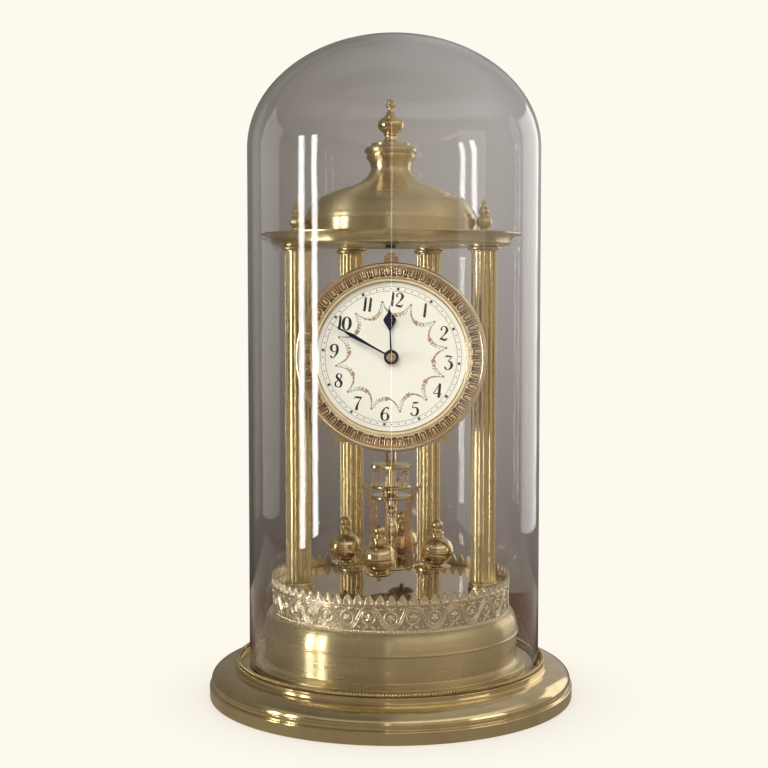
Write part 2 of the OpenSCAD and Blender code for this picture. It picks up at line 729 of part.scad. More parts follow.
module intermediate_arbor_1() {
    color(steel) arbor(wheel1_at, pinion1_teeth, barrel_m, mesh1, barrel_back + 0.5, 2.4);
}
module intermediate_arbor_2() {
    color(steel) arbor(wheel2_at, pinion2_teeth, wheel1_m, mesh2, wheel1_y + 0.5, 2);
}
module centre_arbor() {
    color(steel) {
        bar(centre_at, back_y - 0.2, plate_t + 0.6, pivot_r);
        bar(centre_at, back_front_y - 0.3, plate_gap - 0.6, arbor_r);
        bar(centre_at, front_back_y + 1, dial_y + 7 + front_back_y + 1, centre_post_r);
        plate(wheel2_y + 0.5, 2, centre_at) rotate(mesh3) polygon(teeth(centre_pinion_teeth, wheel2_m));
    }
}
module third_arbor() {
    color(steel) arbor(third_at, train_pinion_teeth, centre_m, mesh4, centre_y + 0.5, 2);
}
module escape_arbor() {
    color(steel) arbor(escape_at, train_pinion_teeth, third_m, mesh5, third_y + 0.5, 2);
}

module escape_wheel() {
    n = escape_teeth;
    p = 360 / n;
    color(brass) plate(escape_y, wheel_t, escape_at) difference() {
        polygon([for (i = [0:n - 1], k = [[0, 1], [0.1, 1], [0.3, 0.76], [0.75, 0.76]]) polar(escape_r * k[1], (i + k[0]) * p)]);
        circle(r = arbor_r);
        for (i = [0:3]) rotate(45 + i * 90) translate([escape_r * 0.45, 0]) circle(r = escape_r * 0.17);
    }
}

// Anchor, its arbor and the upright pin that drives the fork
module anchor() {
    r_in = escape_r + 0.6;
    drop = anchor_at[1] - escape_at[1];
    pin_y = -6;
    color(steel) {
        bar(anchor_at, pin_y + 1, -front_y + pin_y + 0.8, pivot_r);
        bar(anchor_at, pin_y + 1, -back_front_y - 4.7, arbor_r);
        bar(anchor_at, back_front_y - 0.3, plate_gap - 0.6, arbor_r);
        translate([0, pin_y, anchor_at[1] + 1]) cylinder(h = fork_z - anchor_at[1] + 1.5, r = 0.5);
        translate([-1.4, pin_y - 1, anchor_at[1] - 1.2]) cube([2.8, 2, 2.9]);
        plate(escape_y + 0.5, 2, anchor_at) difference() {
            circle(r = drop + 0.5 - escape_r * 0.2);
            translate([0, -drop]) circle(r = r_in + 1.2);
            translate([-20, 1.8]) square([40, 20]);
            translate([-20, -40 - 4.6]) square([40, 40]);
        }
        for (s = [-1, 1]) plate(escape_y + 0.5, 2, escape_at) rotate(90 + s * 42)
            translate([r_in, -0.6]) square([4.2, 1.2]);
    }
}

// ---- Motion work and hands ----

module cannon_pinion() {
    color(steel) {
        plate(cannon_y + 1.2, 1.2, centre_at) difference() {
            polygon(teeth(motion_pinion, motion_m));
            circle(r = centre_post_r + 0.02);
        }
        plate(cannon_y, -minute_hand_y + hand_t + 0.4 + cannon_y, centre_at) difference() {
            circle(r = cannon_pipe_r);
            circle(r = centre_post_r + 0.02);
        }
    }
}

module minute_wheel() {
    color(brass) {
        plate(cannon_y + 1.1, wheel_t, minute_at) difference() {
            rotate(mesh6) polygon(teeth(minute_teeth, motion_m));
            circle(r = 0.9 + run);
        }
        plate(cannon_y + 0.1, 2, minute_at) difference() {
            polygon(teeth(motion_pinion, hour_m));
            circle(r = 0.9 + run);
        }
    }
}

module hour_wheel() {
    color(brass) plate(hour_y + wheel_t, wheel_t, centre_at) difference() {
        rotate(mesh7) polygon(teeth(hour_teeth, hour_m));
        circle(r = cannon_pipe_r + run);
    }
    color(brass) plate(hour_y, -hour_hand_y + hand_t + 0.2 + hour_y, centre_at) difference() {
        circle(r = hour_pipe_r);
        circle(r = cannon_pipe_r + run);
    }
}

// Lozenge hand on a thin stem
module hour_hand() {
    color(blued) plate(hour_hand_y, hand_t, centre_at) rotate(-hour_angle) difference() {
        union() {
            circle(r = 4.2);
            scale([1, hand_s]) {
                translate([-0.55, 0]) square([1.1, 31 - 3]);
                polygon([[0, 31], [-0.55, 28], [-1, 27], [-3.7, 22], [-1.4, 17.5], [-0.55, 16.2],
                    [0.55, 16.2], [1.4, 17.5], [3.7, 22], [1, 27], [0.55, 28]]);
            }
        }
        circle(r = hour_pipe_r + 0.02);
    }
}

// Long leaf hand with a fine point
module minute_hand() {
    color(blued) plate(minute_hand_y, hand_t, centre_at) rotate(-minute_angle) difference() {
        union() {
            circle(r = 3.4);
            scale([1, hand_s]) polygon([[0, 41], [-0.3, 40], [-0.5, 34], [-1.2, 31], [-1.6, 26], [-1, 17], [-0.7, 0],
                [0.7, 0], [1, 17], [1.6, 26], [1.2, 31], [0.5, 34], [0.3, 40]]);
        }
        circle(r = cannon_pipe_r + 0.02);
    }
}

module hand_nut() {
    color(brass) plate(minute_hand_y - hand_t - 0.4, 1.1, centre_at) difference() {
        circle(r = 2.6);
        circle(r = centre_post_r + 0.02);
    }
}

// ---- Suspension ----

// Strap on the back plate, with a shelf over the suspension and two cheeks
module suspension_bracket() {
    shelf_z = top_block_z - 2.5;
    color(brass) difference() {
        union() {
            translate([-6, back_y + 0.02, plate_top - 8]) cube([12, 2, shelf_z + 2 - plate_top + 8]);
            translate([-6, back_y + 0.02, shelf_z]) cube([12, plate_y + 4, 2.5]);
            for (s = [-1, 1]) translate([s * 3.45 - 0.75, -3, shelf_z]) cube([1.5, 6, top_block_z + top_block_h - 2 - shelf_z]);
        }
        translate([0, 0, shelf_z - 5]) cylinder(h = 20, r = 1);
        for (s = [-1, 1]) bar([s * 4, plate_top - 4], back_y + 5, 8, 1.1);
    }
}

module suspension_top_block() {
    color(blued) difference() {
        translate([-2.65, -2.2, top_block_z]) cube([5.3, 4.4, top_block_h]);
        translate([0, 0, top_block_z - 1]) cylinder(h = top_block_h - 2, r = spring_bore_r);
    }
}

module suspension_spring() {
    z0 = bottom_block_z + 3;
    color(steel) translate([-0.4, -0.08, z0]) cube([0.8, 0.16, top_block_z + top_block_h - 3 - z0]);
}

module suspension_fork() {
    color(brass) difference() {
        union() {
            translate([-2, -1.6, fork_z - 1]) cube([4, 3.2, 3]);
            for (s = [-1, 1]) translate([s * 1.25 - 0.45, -7.3, fork_z]) cube([0.9, 6, 1]);
        }
        translate([0, 0, fork_z - 2]) cylinder(h = 6, r = spring_bore_r + 0.1);
    }
}

module suspension_bottom_block() {
    color(steel) difference() {
        translate([-1.6, -1.2, bottom_block_z]) cube([3.2, 2.4, 4.6]);
        translate([0, 0, bottom_block_z + 3]) cylinder(h = 3, r = spring_bore_r);
    }
}

// ---- Pendulum ----

// Turned spindle with the stirrup that hangs on the bottom block
module pendulum_spindle() {
    t = spindle_top;
    w = weight_z;
    color(brass) rotate(pendulum_angle) {
        lathe([[0, carrier_z + 2], [3, carrier_z + 2], [3, w - 6], [2.2, w - 4.6], [2.6, w - 3.2], [1.9, w - 2],
            [1.9, w + 1], [2.6, w + 3], [4, w + 8], [4.3, w + 11], [3.6, w + 14.6], [2.2, w + 17.6],
            [1.7, w + 19.4], [2.6, w + 20.4], [3.6, w + 22.4], [3.6, w + 24], [2.6, w + 25.6], [1.8, w + 26.6],
            [1.5, crown_z + 1], [1.5, t], [0, t]]);
        difference() {
            translate([-3, -2, t]) cube([6, 4, 8.4]);
            translate([-1.9, -3, t + 1.99]) cube([3.8, 6, 4.7]);
            translate([0, 0, t + 5]) cylinder(h = 5, r = 0.9);
        }
    }
}

module regulator_disc() {
    color(brass) lathe([[1.5 + run, disc_z], [disc_r - 0.5, disc_z], [disc_r, disc_z + 0.5], [disc_r, disc_z + 1.9],
        [disc_r - 0.5, disc_z + 2.4], [1.5 + run, disc_z + 2.4]]);
}

// Two rings with four upright wire loops
module crown_loop() {
    z = crown_z + 8.5;
    top = z + 8;
    for (x = [7.2, 10.8]) translate([x, 0, z - 1]) cylinder(h = top - z - 0.8, r = 0.55, $fn = 16);
    translate([9, 0, top - 1.8]) rotate([90, 0, 0]) rotate_extrude(angle = 180, $fn = 48)
        translate([1.8, 0]) circle(r = 0.55, $fn = 16);
}

module loop_crown() {
    color(brass) {
        ring(1.52, 12.3, crown_z + 6.4, 2.2);
        ring(1.52, 3.4, crown_z + 2, 4.5);
        ring(1.52, 12.3, crown_z, 2.2);
        for (a = [0:90:270]) rotate(a + pendulum_angle) crown_loop();
    }
}

// Four flat arms that bow in like the sides of a lyre and end in horns
module lyre_arms() {
    top = crown_z + 10;
    foot = carrier_z + 2;
    outline = concat([[9, foot], [15, foot], [13.8, foot + 8], [12.6, foot + 17], [12.5, foot + 27],
        [13.8, foot + 36], [16.5, top - 4], [20.3, top], [18.6, top - 1], [14, top - 3.4],
        [12.35, top - 5], [12.35, crown_z - 2], [8.6, foot + 35], [8.2, foot + 26], [8.5, foot + 15], [9.4, foot + 8]]);
    color(copper_brass) for (a = [0:90:270]) rotate(a + pendulum_angle)
        translate([0, 0.6, 0]) rotate([90, 0, 0]) linear_extrude(1.2) polygon(outline);
}

// Hub and four arms, each ending in a shallow dish for a weight
module weight_carrier() {
    z = carrier_z;
    color(brass) rotate(pendulum_angle) difference() {
        union() {
            translate([0, 0, z]) cylinder(h = 2, r = 16);
            for (a = [0:90:270]) rotate(a) {
                translate([0, -2.5, z]) cube([weight_ring_r, 5, 2]);
                translate([weight_ring_r, 0, z]) cylinder(h = 2, r = 8.5);
            }
        }
        for (a = [0:90:270]) rotate(a) translate([weight_ring_r, 0, z - 1]) cylinder(h = 4, r = 1.1);
    }
}

// Oblate balls with a knob above and a drop finial below
module weights() {
    w = weight_z;
    h = weight_half_h;
    top = w + h;
    color(brass) for (a = [0:90:270]) rotate(a + pendulum_angle) translate([weight_ring_r, 0, 0]) {
        lathe(concat([[0, carrier_z + 2], [3.6, carrier_z + 2]], arc([0, w], weight_r, h, -66, 70, 20),
            [[3.4, top + 0.4], [4, top + 1.4], [3.8, top + 2.6], [2, top + 3.4], [1.8, top + 4.2]],
            arc([0, top + 6.6], 3.3, 3.2, -45, 90, 8)));
        translate([0, 0, carrier_z - 1]) cylinder(h = 4, r = 1);
        lathe([[0, carrier_z - 3.4], [0.8, carrier_z - 3.4], [1.8, carrier_z - 2.2], [1.2, carrier_z - 1.2],
            [2.6, carrier_z], [0, carrier_z]]);
    }
}

foot_shell();
foot_core();
bead_ring();
plinth_drum();
gallery_band();
deck_plate();
column_front_left();
column_front_right();
column_back_left();
column_back_right();
column_collars();
tie_rods();
urn_finials();
canopy();
roof();
roof_bolt();
roof_cap();
roof_finial();
glass_dome();
movement_bridge();
movement_screws();
back_plate();
front_plate();
plate_pillars();
dial();
bezel();
barrel();
mainspring();
winding_arbor();
ratchet_wheel();
click();
click_spring();
intermediate_wheel_1();
intermediate_arbor_1();
intermediate_wheel_2();
intermediate_arbor_2();
centre_wheel();
centre_arbor();
third_wheel();
third_arbor();
escape_wheel();
escape_arbor();
anchor();
cannon_pinion();
minute_wheel();
hour_wheel();
hour_hand();
minute_hand();
hand_nut();
suspension_bracket();
suspension_top_block();
suspension_spring();
suspension_fork();
suspension_bottom_block();
pendulum_spindle();
regulator_disc();
loop_crown();
lyre_arms();
weight_carrier();
weights();
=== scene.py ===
from math import atan2, cos, hypot, pi, radians, sin, tan

import bmesh
import bpy
import numpy as np
from mathutils import Matrix, Vector

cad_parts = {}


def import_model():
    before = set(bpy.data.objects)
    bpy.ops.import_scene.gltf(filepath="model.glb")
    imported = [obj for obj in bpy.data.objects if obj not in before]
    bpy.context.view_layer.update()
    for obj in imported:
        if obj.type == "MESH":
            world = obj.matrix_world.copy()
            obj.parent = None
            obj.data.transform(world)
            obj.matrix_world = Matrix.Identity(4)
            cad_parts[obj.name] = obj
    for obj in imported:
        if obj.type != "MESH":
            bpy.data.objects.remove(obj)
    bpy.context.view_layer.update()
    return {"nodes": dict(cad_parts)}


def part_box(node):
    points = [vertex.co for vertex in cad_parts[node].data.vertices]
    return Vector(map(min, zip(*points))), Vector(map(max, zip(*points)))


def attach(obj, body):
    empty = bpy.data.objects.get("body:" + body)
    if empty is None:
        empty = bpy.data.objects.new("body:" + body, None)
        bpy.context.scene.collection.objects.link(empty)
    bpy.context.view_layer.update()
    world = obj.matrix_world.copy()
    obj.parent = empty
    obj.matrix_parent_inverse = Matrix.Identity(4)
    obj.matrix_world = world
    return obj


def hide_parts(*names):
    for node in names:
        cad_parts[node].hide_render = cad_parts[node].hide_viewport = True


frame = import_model()

MM = 0.001
MICRON = 0.000001
TAU = 2 * pi


# ---- places

def low(node):
    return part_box(node)[0] / MM


def high(node):
    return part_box(node)[1] / MM


def radius(node):
    """Largest distance in X of a node from the clock's axis."""
    return max(high(node).x, -low(node).x)


def centre(node):
    return (low(node) + high(node)) / 2


foot_r = radius("foot_shell")
floor_z = low("plinth_drum").z
bead_r = (high("bead_ring").z - low("bead_ring").z) / 2
bead_ring_r = radius("bead_ring") - bead_r
flange_r = radius("plinth_drum")
plinth_r = flange_r - 5.8
plinth_top = low("gallery_band").z
gallery_r = radius("gallery_band")
gallery_top = high("gallery_band").z
deck_z = high("deck_plate").z
deck_r = radius("deck_plate")
column_r = 7.5
canopy_z = low("canopy").z
canopy_top = high("canopy").z
canopy_r = radius("canopy")
roof_r = radius("roof") - 0.6
neck_top = high("roof").z
cap_top = high("roof_cap").z
dome_r = (high("glass_dome").x - low("glass_dome").x) / 2
dome_x = centre("glass_dome").x
dome_top = high("glass_dome").z
dial_r = radius("dial")
dial_z = centre("dial").z
dial_y = low("dial").y
bezel_r = radius("bezel")
pendulum_turn = radians(-14)
weight_ring_r = 28.8
carrier_z = low("weight_carrier").z
weight_z = carrier_z + 11.3
spindle_top = weight_z + 52
crown_z = low("loop_crown").z
disc_z = low("regulator_disc").z
columns = {n: (centre(n).x, centre(n).y) for n in ("column_front_left", "column_front_right", "column_back_left",
    "column_back_right")}


# ---- mesh helpers

def circle(r, n):
    return [(r * cos(i * TAU / n), r * sin(i * TAU / n)) for i in range(n)]


def arc(c, rx, rz, a0, a1, n=10):
    """Points of an elliptical arc, angles in degrees."""
    return [(c[0] + rx * cos(radians(a0 + (a1 - a0) * i / n)), c[1] + rz * sin(radians(a0 + (a1 - a0) * i / n)))
        for i in range(n + 1)]


def rounded(points, r=0.3, closed=True, n=3):
    """Outline with its corners filleted; a point may carry its own fillet as a third number."""
    out = []
    count = len(points)
    for i, p in enumerate(points):
        fillet = p[2] if len(p) > 2 else r
        here = Vector(p[:2])
        if (not closed and i in (0, count - 1)) or fillet <= 0:
            out.append(tuple(here))
            continue
        a, b = Vector(points[i - 1][:2]), Vector(points[(i + 1) % count][:2])
        u, v = a - here, b - here
        if u.length < 1e-6 or v.length < 1e-6:
            out.append(tuple(here))
            continue
        turn = pi - u.angle(v)
        if turn < 0.12 or here.x < 1e-6:
            out.append(tuple(here))
            continue
        t = min(fillet * tan(turn / 2), u.length * 0.45, v.length * 0.45)
        p0, p2 = here + u.normalized() * t, here + v.normalized() * t
        for k in range(n + 1):
            s = k / n
            out.append(tuple(p0 * (1 - s) ** 2 + here * 2 * s * (1 - s) + p2 * s ** 2))
    return out


def spline(points, n=6, closed=False):
    """Catmull-Rom curve through the points, which may have any number of numbers each."""
    pts = [np.array(p, float) for p in points]
    out = []
    count = len(pts)
    for i in range(count if closed else count - 1):
        if closed:
            p0, p1, p2, p3 = pts[i - 1], pts[i], pts[(i + 1) % count], pts[(i + 2) % count]
        else:
            p1, p2 = pts[i], pts[i + 1]
            p0 = pts[i - 1] if i else 2 * p1 - p2
            p3 = pts[i + 2] if i + 2 < count else 2 * p2 - p1
        for k in range(n):
            t = k / n
            out.append(0.5 * (2 * p1 + (p2 - p0) * t + (2 * p0 - 5 * p1 + 4 * p2 - p3) * t * t
                + (3 * p1 - p0 - 3 * p2 + p3) * t ** 3))
    if not closed:
        out.append(pts[-1])
    return [tuple(p) for p in out]


def make(name, parts, material, body="stand", slot="polished_brass", own=True, sharp=32, place=None):
    """Closed mesh piece from (points, faces) in millimetres, riding on a body, in place of its own node if it has one."""
    verts, faces = merge(parts)
    mesh = bpy.data.meshes.new(name)
    mesh.from_pydata((verts * MM).tolist(), [], faces)
    bm = bmesh.new()
    bm.from_mesh(mesh)
    bmesh.ops.recalc_face_normals(bm, faces=bm.faces)
    bm.to_mesh(mesh)
    bm.free()
    mesh.shade_smooth()
    mesh.set_sharp_from_angle(angle=radians(sharp))
    obj = bpy.data.objects.new(name, mesh)
    bpy.context.scene.collection.objects.link(obj)
    if place is not None:
        obj.matrix_world = place
    obj.data.materials.append(material)
    even = obj.modifiers.new("normals", "WEIGHTED_NORMAL")  # flats beside fillets keep flat shading
    even.keep_sharp = True
    if own:
        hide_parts(name)
    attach(obj, body)
    return obj


def revolve(profile, seg=192, relief=None):
    """Points and faces of an outline turned about the Z axis; it closes on itself unless both ends are on the axis."""
    pts = [(0 if p[0] < 1e-5 else p[0], p[1]) for p in profile]
    ang = np.arange(seg) * TAU / seg
    ring = np.stack([np.cos(ang), np.sin(ang), np.zeros(seg)], 1)
    count = len(pts)
    solid = pts[0][0] == 0 and pts[-1][0] == 0
    verts, first = [], []
    total = 0
    for i, (r, z) in enumerate(pts):
        first.append(total)
        if r == 0:
            verts.append(np.array([[0, 0, z]]))
            total += 1
            continue
        rr, zz = np.full(seg, r), np.full(seg, z)
        if relief is not None:
            a, b = pts[i - 1], pts[(i + 1) % count]
            d = Vector((b[0] - a[0], b[1] - a[1])).normalized()
            out = relief(ang, r, z)
            rr, zz = rr + d.y * out, zz - d.x * out
        verts.append(ring * rr[:, None] + np.outer(zz, (0, 0, 1)))
        total += seg
    faces = []
    for i in range(count - 1 if solid else count):
        j = (i + 1) % count
        a, b = first[i], first[j]
        ra, rb = pts[i][0], pts[j][0]
        if ra == 0 and rb == 0:
            continue
        for k in range(seg):
            m = (k + 1) % seg
            if ra == 0:
                faces.append((a, b + k, b + m))
            elif rb == 0:
                faces.append((a + k, a + m, b))
            else:
                faces.append((a + k, a + m, b + m, b + k))
    return np.concatenate(verts), faces


def around(part, ring_r, angle):
    """The part carried round the Z axis to a radius and an angle, keeping its own direction."""
    return moved(part, (ring_r * cos(angle), ring_r * sin(angle), 0))


def merge(parts):
    """Joins several (points, faces) into one."""
    verts, faces, n = [], [], 0
    for v, f in parts:
        v = np.array(v, float)
        verts.append(v)
        faces += [tuple(i + n for i in face) for face in f]
        n += len(v)
    return np.concatenate(verts), faces


def moved(part, at=(0, 0, 0), turn=0):
    v, f = part
    c, s = cos(turn), sin(turn)
    v = np.stack([v[:, 0] * c - v[:, 1] * s, v[:, 0] * s + v[:, 1] * c, v[:, 2]], 1)
    return v + np.array(at, float), f


def slab(outline, z0, z1, hole=None):
    """Flat plate between two heights; a hole has the same number of points as the outline."""
    n = len(outline)
    top = [(p[0], p[1], z1) for p in outline]
    bottom = [(p[0], p[1], z0) for p in outline]
    if hole is None:
        faces = [tuple(range(n)), tuple(range(2 * n - 1, n - 1, -1))]
        faces += [(i, n + i, n + (i + 1) % n, (i + 1) % n) for i in range(n)]
        return np.array(top + bottom, float), faces
    verts = top + bottom + [(p[0], p[1], z1) for p in hole] + [(p[0], p[1], z0) for p in hole]
    faces = []
    for i in range(n):
        j = (i + 1) % n
        faces += [(i, j, 2 * n + j, 2 * n + i), (n + j, n + i, 3 * n + i, 3 * n + j), (i, n + i, n + j, j),
            (2 * n + j, 3 * n + j, 3 * n + i, 2 * n + i)]
    return np.array(verts, float), faces


def skin(rings, closed=True):
    """Points and faces between rings of equally many points, closed on itself or capped at its ends."""
    rings = np.array(rings, float)
    count, n = rings.shape[:2]
    k = np.arange(n)
    m = (k + 1) % n
    faces = []
    for i in range(count if closed else count - 1):
        j = (i + 1) % count
        faces += np.stack([i * n + k, i * n + m, j * n + m, j * n + k], 1).tolist()
    if not closed:
        faces += [tuple(range(n)), tuple(range(count * n - 1, count * n - n - 1, -1))]
    return rings.reshape(-1, 3), faces


def lift(points, z):
    """Outline raised by a height; fillets stay with their points."""
    return [(p[0], p[1] + z, *p[2:]) for p in points]


def turned(name, profile, material, *where, seg=192, fillet=0.3, relief=None, **how):
    return make(name, [revolve(rounded(profile, fillet), seg, relief)], material, *where, **how)


# ---- materials

class Graph:
    """Small helper for building the nodes of a material or a world."""

    def __init__(self, name, store=bpy.data.materials, output="OutputMaterial"):
        self.owner = store.new(name)
        self.owner.use_nodes = True
        self.tree = self.owner.node_tree
        self.tree.nodes.clear()
        self.output = self.node(output)

    def node(self, kind, inputs=None, **props):
        n = self.tree.nodes.new("ShaderNode" + kind)
        for key, value in props.items():
            setattr(n, key, value)
        for key, value in (inputs or {}).items():
            if isinstance(value, bpy.types.NodeSocket):
                self.tree.links.new(value, n.inputs[key])
            else:
                n.inputs[key].default_value = value
        return n

    def math(self, operation, a, b=0, clamp=False):
        return self.node("Math", {0: a, 1: b}, operation=operation, use_clamp=clamp).outputs[0]

    def span(self, value, a, b, lo, hi):
        return self.node("MapRange", {"Value": value, "From Min": a, "From Max": b, "To Min": lo, "To Max": hi}).outputs[0]

    def noise(self, vector, scale, detail=3, rough=0.55):
        return self.node("TexNoise", {"Vector": vector, "Scale": scale, "Detail": detail, "Roughness": rough}).outputs["Fac"]

    def mix(self, fac, a, b, kind="MIX"):
        return self.node("Mix", {0: fac, 6: a, 7: b}, data_type="RGBA", blend_type=kind).outputs[2]

    def ramp(self, source, low_at, high_at, stops):
        """Colours at places along a value."""
        r = self.node("ValToRGB", {0: self.span(source, low_at, high_at, 0, 1)})
        e = r.color_ramp.elements
        e[0].position, e[0].color = 0, rgb(*stops[0][1])
        e[1].position, e[1].color = 1, rgb(*stops[-1][1])
        for at, c in stops[1:-1]:
            e.new((at - low_at) / (high_at - low_at)).color = rgb(*c)
        return r.outputs[0]

    def coord(self, kind="Object"):
        return self.node("TexCoord").outputs[kind]

    def split(self, vector):
        return self.node("SeparateXYZ", {0: vector}).outputs

    def bump(self, height, depth):
        return self.node("Bump", {"Strength": 1, "Distance": depth, "Height": height}).outputs[0]

    def stretched(self, x, y, z):
        return self.node("Mapping", {"Vector": self.coord(), "Scale": (x, y, z)}).outputs[0]

    def turned_coords(self):
        """Distance from the object's Z axis and height, as a vector."""
        x, y, z = self.split(self.coord())
        r = self.math("SQRT", self.math("ADD", self.math("POWER", x, 2), self.math("POWER", y, 2)))
        return self.node("CombineXYZ", {0: r, 1: z}).outputs[0]

    def finish(self, shader):
        self.tree.links.new(shader, self.output.inputs["Surface"])
        return self.owner


def rgb(r, g, b):
    return (r, g, b, 1)


def metal(name, colour, dark, rough, lines="turned", line_scale=1300, depth=3, tarnish=0.45, ground=None, spun=0):
    """Metal with tool marks, whose depth is in micrometres, cloudy tarnish and fine wear."""
    g = Graph(name)
    coord = g.coord()
    if lines == "turned":
        line = g.noise(g.turned_coords(), line_scale, 2)
    elif lines == "upright":
        line = g.noise(g.stretched(line_scale, line_scale, 0.3), 1, 1)
    elif lines == "grained":
        line = g.noise(g.stretched(25, 25, line_scale), 1, 3)
    else:
        line = g.noise(coord, line_scale, 3)
    cloud = g.noise(coord, 45, 5, 0.62)
    speck = g.noise(coord, 990, 2, 0.5)
    aged = g.span(cloud, 0.42, 0.72, 0, tarnish)
    spots = g.span(speck, 0.66, 0.76, 0, tarnish * 0.7)
    fac = g.math("MAXIMUM", aged, spots)
    if ground:  # patina and painted shade left in the ground of the relief, from one height of it to another, inside a range of radius
        axis, bottom, top, amount, inner, outer = ground
        at = g.split(g.turned_coords())
        # the darkening stands for patina and for painted shade in the hollows
        deep = g.span(at[axis], bottom * MM, top * MM, amount, 0)
        deep = g.math("MULTIPLY", deep, g.math("GREATER_THAN", at[0], inner * MM))
        deep = g.math("MULTIPLY", deep, g.math("LESS_THAN", at[0], outer * MM))
        fac = g.math("MAXIMUM", fac, deep)
    base = g.mix(fac, rgb(*colour), rgb(*dark))
    rough_base = g.span(cloud, 0.3, 0.75, rough[0], rough[1])
    rough_line = g.span(line, 0.25, 0.75, -0.03, 0.05)
    roughness = g.math("ADD", rough_base, rough_line, clamp=True)
    height = g.math("ADD", line, g.math("MULTIPLY", speck, 0.35))
    bump = g.bump(height, depth * MICRON)
    shader = g.node("BsdfPrincipled", {"Base Color": base, "Metallic": 1, "Roughness": roughness, "Normal": bump})
    if spun:  # tool marks run round the axis and spread the highlights along the profile
        shader.inputs["Anisotropic"].default_value = spun
        shader.inputs["Anisotropic Rotation"].default_value = 0.25
        around = g.node("Tangent", direction_type="RADIAL", axis="Z")
        g.tree.links.new(around.outputs[0], shader.inputs["Tangent"])
    return g.finish(shader.outputs[0])


BRASS = (0.8, 0.665, 0.38)
BRASS_DARK = (0.4, 0.27, 0.13)
brass_foot = metal("spun_brass", BRASS, BRASS_DARK, rough=(0.1, 0.19), depth=2, spun=0.7, tarnish=0.35)
brass_drum = metal("satin_brass", BRASS, BRASS_DARK, rough=(0.25, 0.35), depth=4, spun=0.95, tarnish=0.3)
brass_old = metal("dark_brass", (0.34, 0.24, 0.12), (0.14, 0.09, 0.05), rough=(0.35, 0.5), lines="fine", depth=15)
brass_relief = metal("chased_brass", BRASS, (0.3, 0.19, 0.08), rough=(0.16, 0.28), lines="fine", line_scale=900,
    depth=10)
# the ground of the gallery relief is darkened: patina and painted shade in its hollows
brass_gallery = metal("gallery_brass", (0.96, 0.84, 0.62), (0.44, 0.32, 0.19), rough=(0.24, 0.34), lines="fine",
    line_scale=900, depth=4, tarnish=0.2, ground=(0, gallery_r - 0.75, gallery_r - 0.45, 0.55, gallery_r - 0.9, gallery_r
    + 1))
brass_mirror = metal("polished_brass", (0.62, 0.49, 0.33), (0.45, 0.33, 0.18), rough=(0.03, 0.07), depth=2, tarnish=0.25)
brass_column = metal("column_brass", (0.82, 0.7, 0.4), (0.46, 0.34, 0.13), rough=(0.2, 0.3), lines="upright",
    line_scale=500, depth=0.6, tarnish=0.25)
# the low ground of the egg-and-dart band is darkened: patina and painted shade between the eggs
brass_bezel = metal("bezel_brass", (0.95, 0.8, 0.55), (0.25, 0.15, 0.07), rough=(0.13, 0.21), tarnish=0.18,
    ground=(1, 55.95, 56.3, 0.95, bezel_r - 8, bezel_r - 3.4))
brass_lyre = metal("lyre_brass", (0.84, 0.6, 0.4), (0.5, 0.31, 0.17), rough=(0.2, 0.32), lines="grained",
    line_scale=900, depth=4)
brass_weight = metal("weight_brass", (0.84, 0.68, 0.38), (0.5, 0.35, 0.16), rough=(0.07, 0.14), tarnish=0.25)
brass_plate = metal("grained_brass", (0.76, 0.62, 0.36), (0.45, 0.32, 0.15), rough=(0.24, 0.36), lines="grained",
    line_scale=1500, depth=5)
brass_wheel = metal("wheel_brass", (0.8, 0.66, 0.38), (0.5, 0.36, 0.17), rough=(0.18, 0.3), lines="fine",
    line_scale=1600, depth=4)
steel = metal("bright_steel", (0.52, 0.53, 0.55), (0.25, 0.24, 0.23), rough=(0.2, 0.32), lines="fine", line_scale=1400,
    depth=4, tarnish=0.35)
blued = metal("blued_steel", (0.022, 0.022, 0.07), (0.045, 0.018, 0.055), rough=(0.16, 0.26), lines="fine",
    line_scale=1200, tarnish=0.8)


def cast_iron():
    g = Graph("cast_iron")
    coord = g.coord()
    grain = g.noise(coord, 420, 6, 0.7)
    cloud = g.noise(coord, 30, 4)
    base = g.mix(g.span(cloud, 0.35, 0.7, 0, 1), rgb(0.03, 0.03, 0.032), rgb(0.055, 0.045, 0.038))
    bump = g.bump(grain, 0.0002)
    shader = g.node("BsdfPrincipled", {"Base Color": base, "Metallic": 0.2, "Normal": bump,
        "Roughness": g.span(grain, 0.3, 0.7, 0.55, 0.8)})
    return g.finish(shader.outputs[0])


def enamel():
    g = Graph("cream_enamel")
    coord = g.coord()
    cloud = g.noise(coord, 38, 4)
    speck = g.noise(coord, 900, 2)
    cream = g.mix(g.span(cloud, 0.3, 0.7, 0, 1), rgb(0.88, 0.88, 0.8), rgb(0.83, 0.82, 0.73))
    base = g.mix(g.span(speck, 0.7, 0.78, 0, 0.35), cream, rgb(0.5, 0.42, 0.3))
    bump = g.bump(cloud, 0.00004)
    shader = g.node("BsdfPrincipled", {"Base Color": base, "Roughness": g.span(cloud, 0.3, 0.7, 0.14, 0.22),
        "Coat Weight": 0.4, "Coat Roughness": 0.06, "Normal": bump})
    return g.finish(shader.outputs[0])


def ink(name, colour, other):
    g = Graph(name)
    cloud = g.noise(g.coord(), 600, 3)
    base = g.mix(g.span(cloud, 0.35, 0.65, 0, 1), colour, other)
    shader = g.node("BsdfPrincipled", {"Base Color": base, "Roughness": g.span(cloud, 0.3, 0.7, 0.22, 0.34)})
    return g.finish(shader.outputs[0])


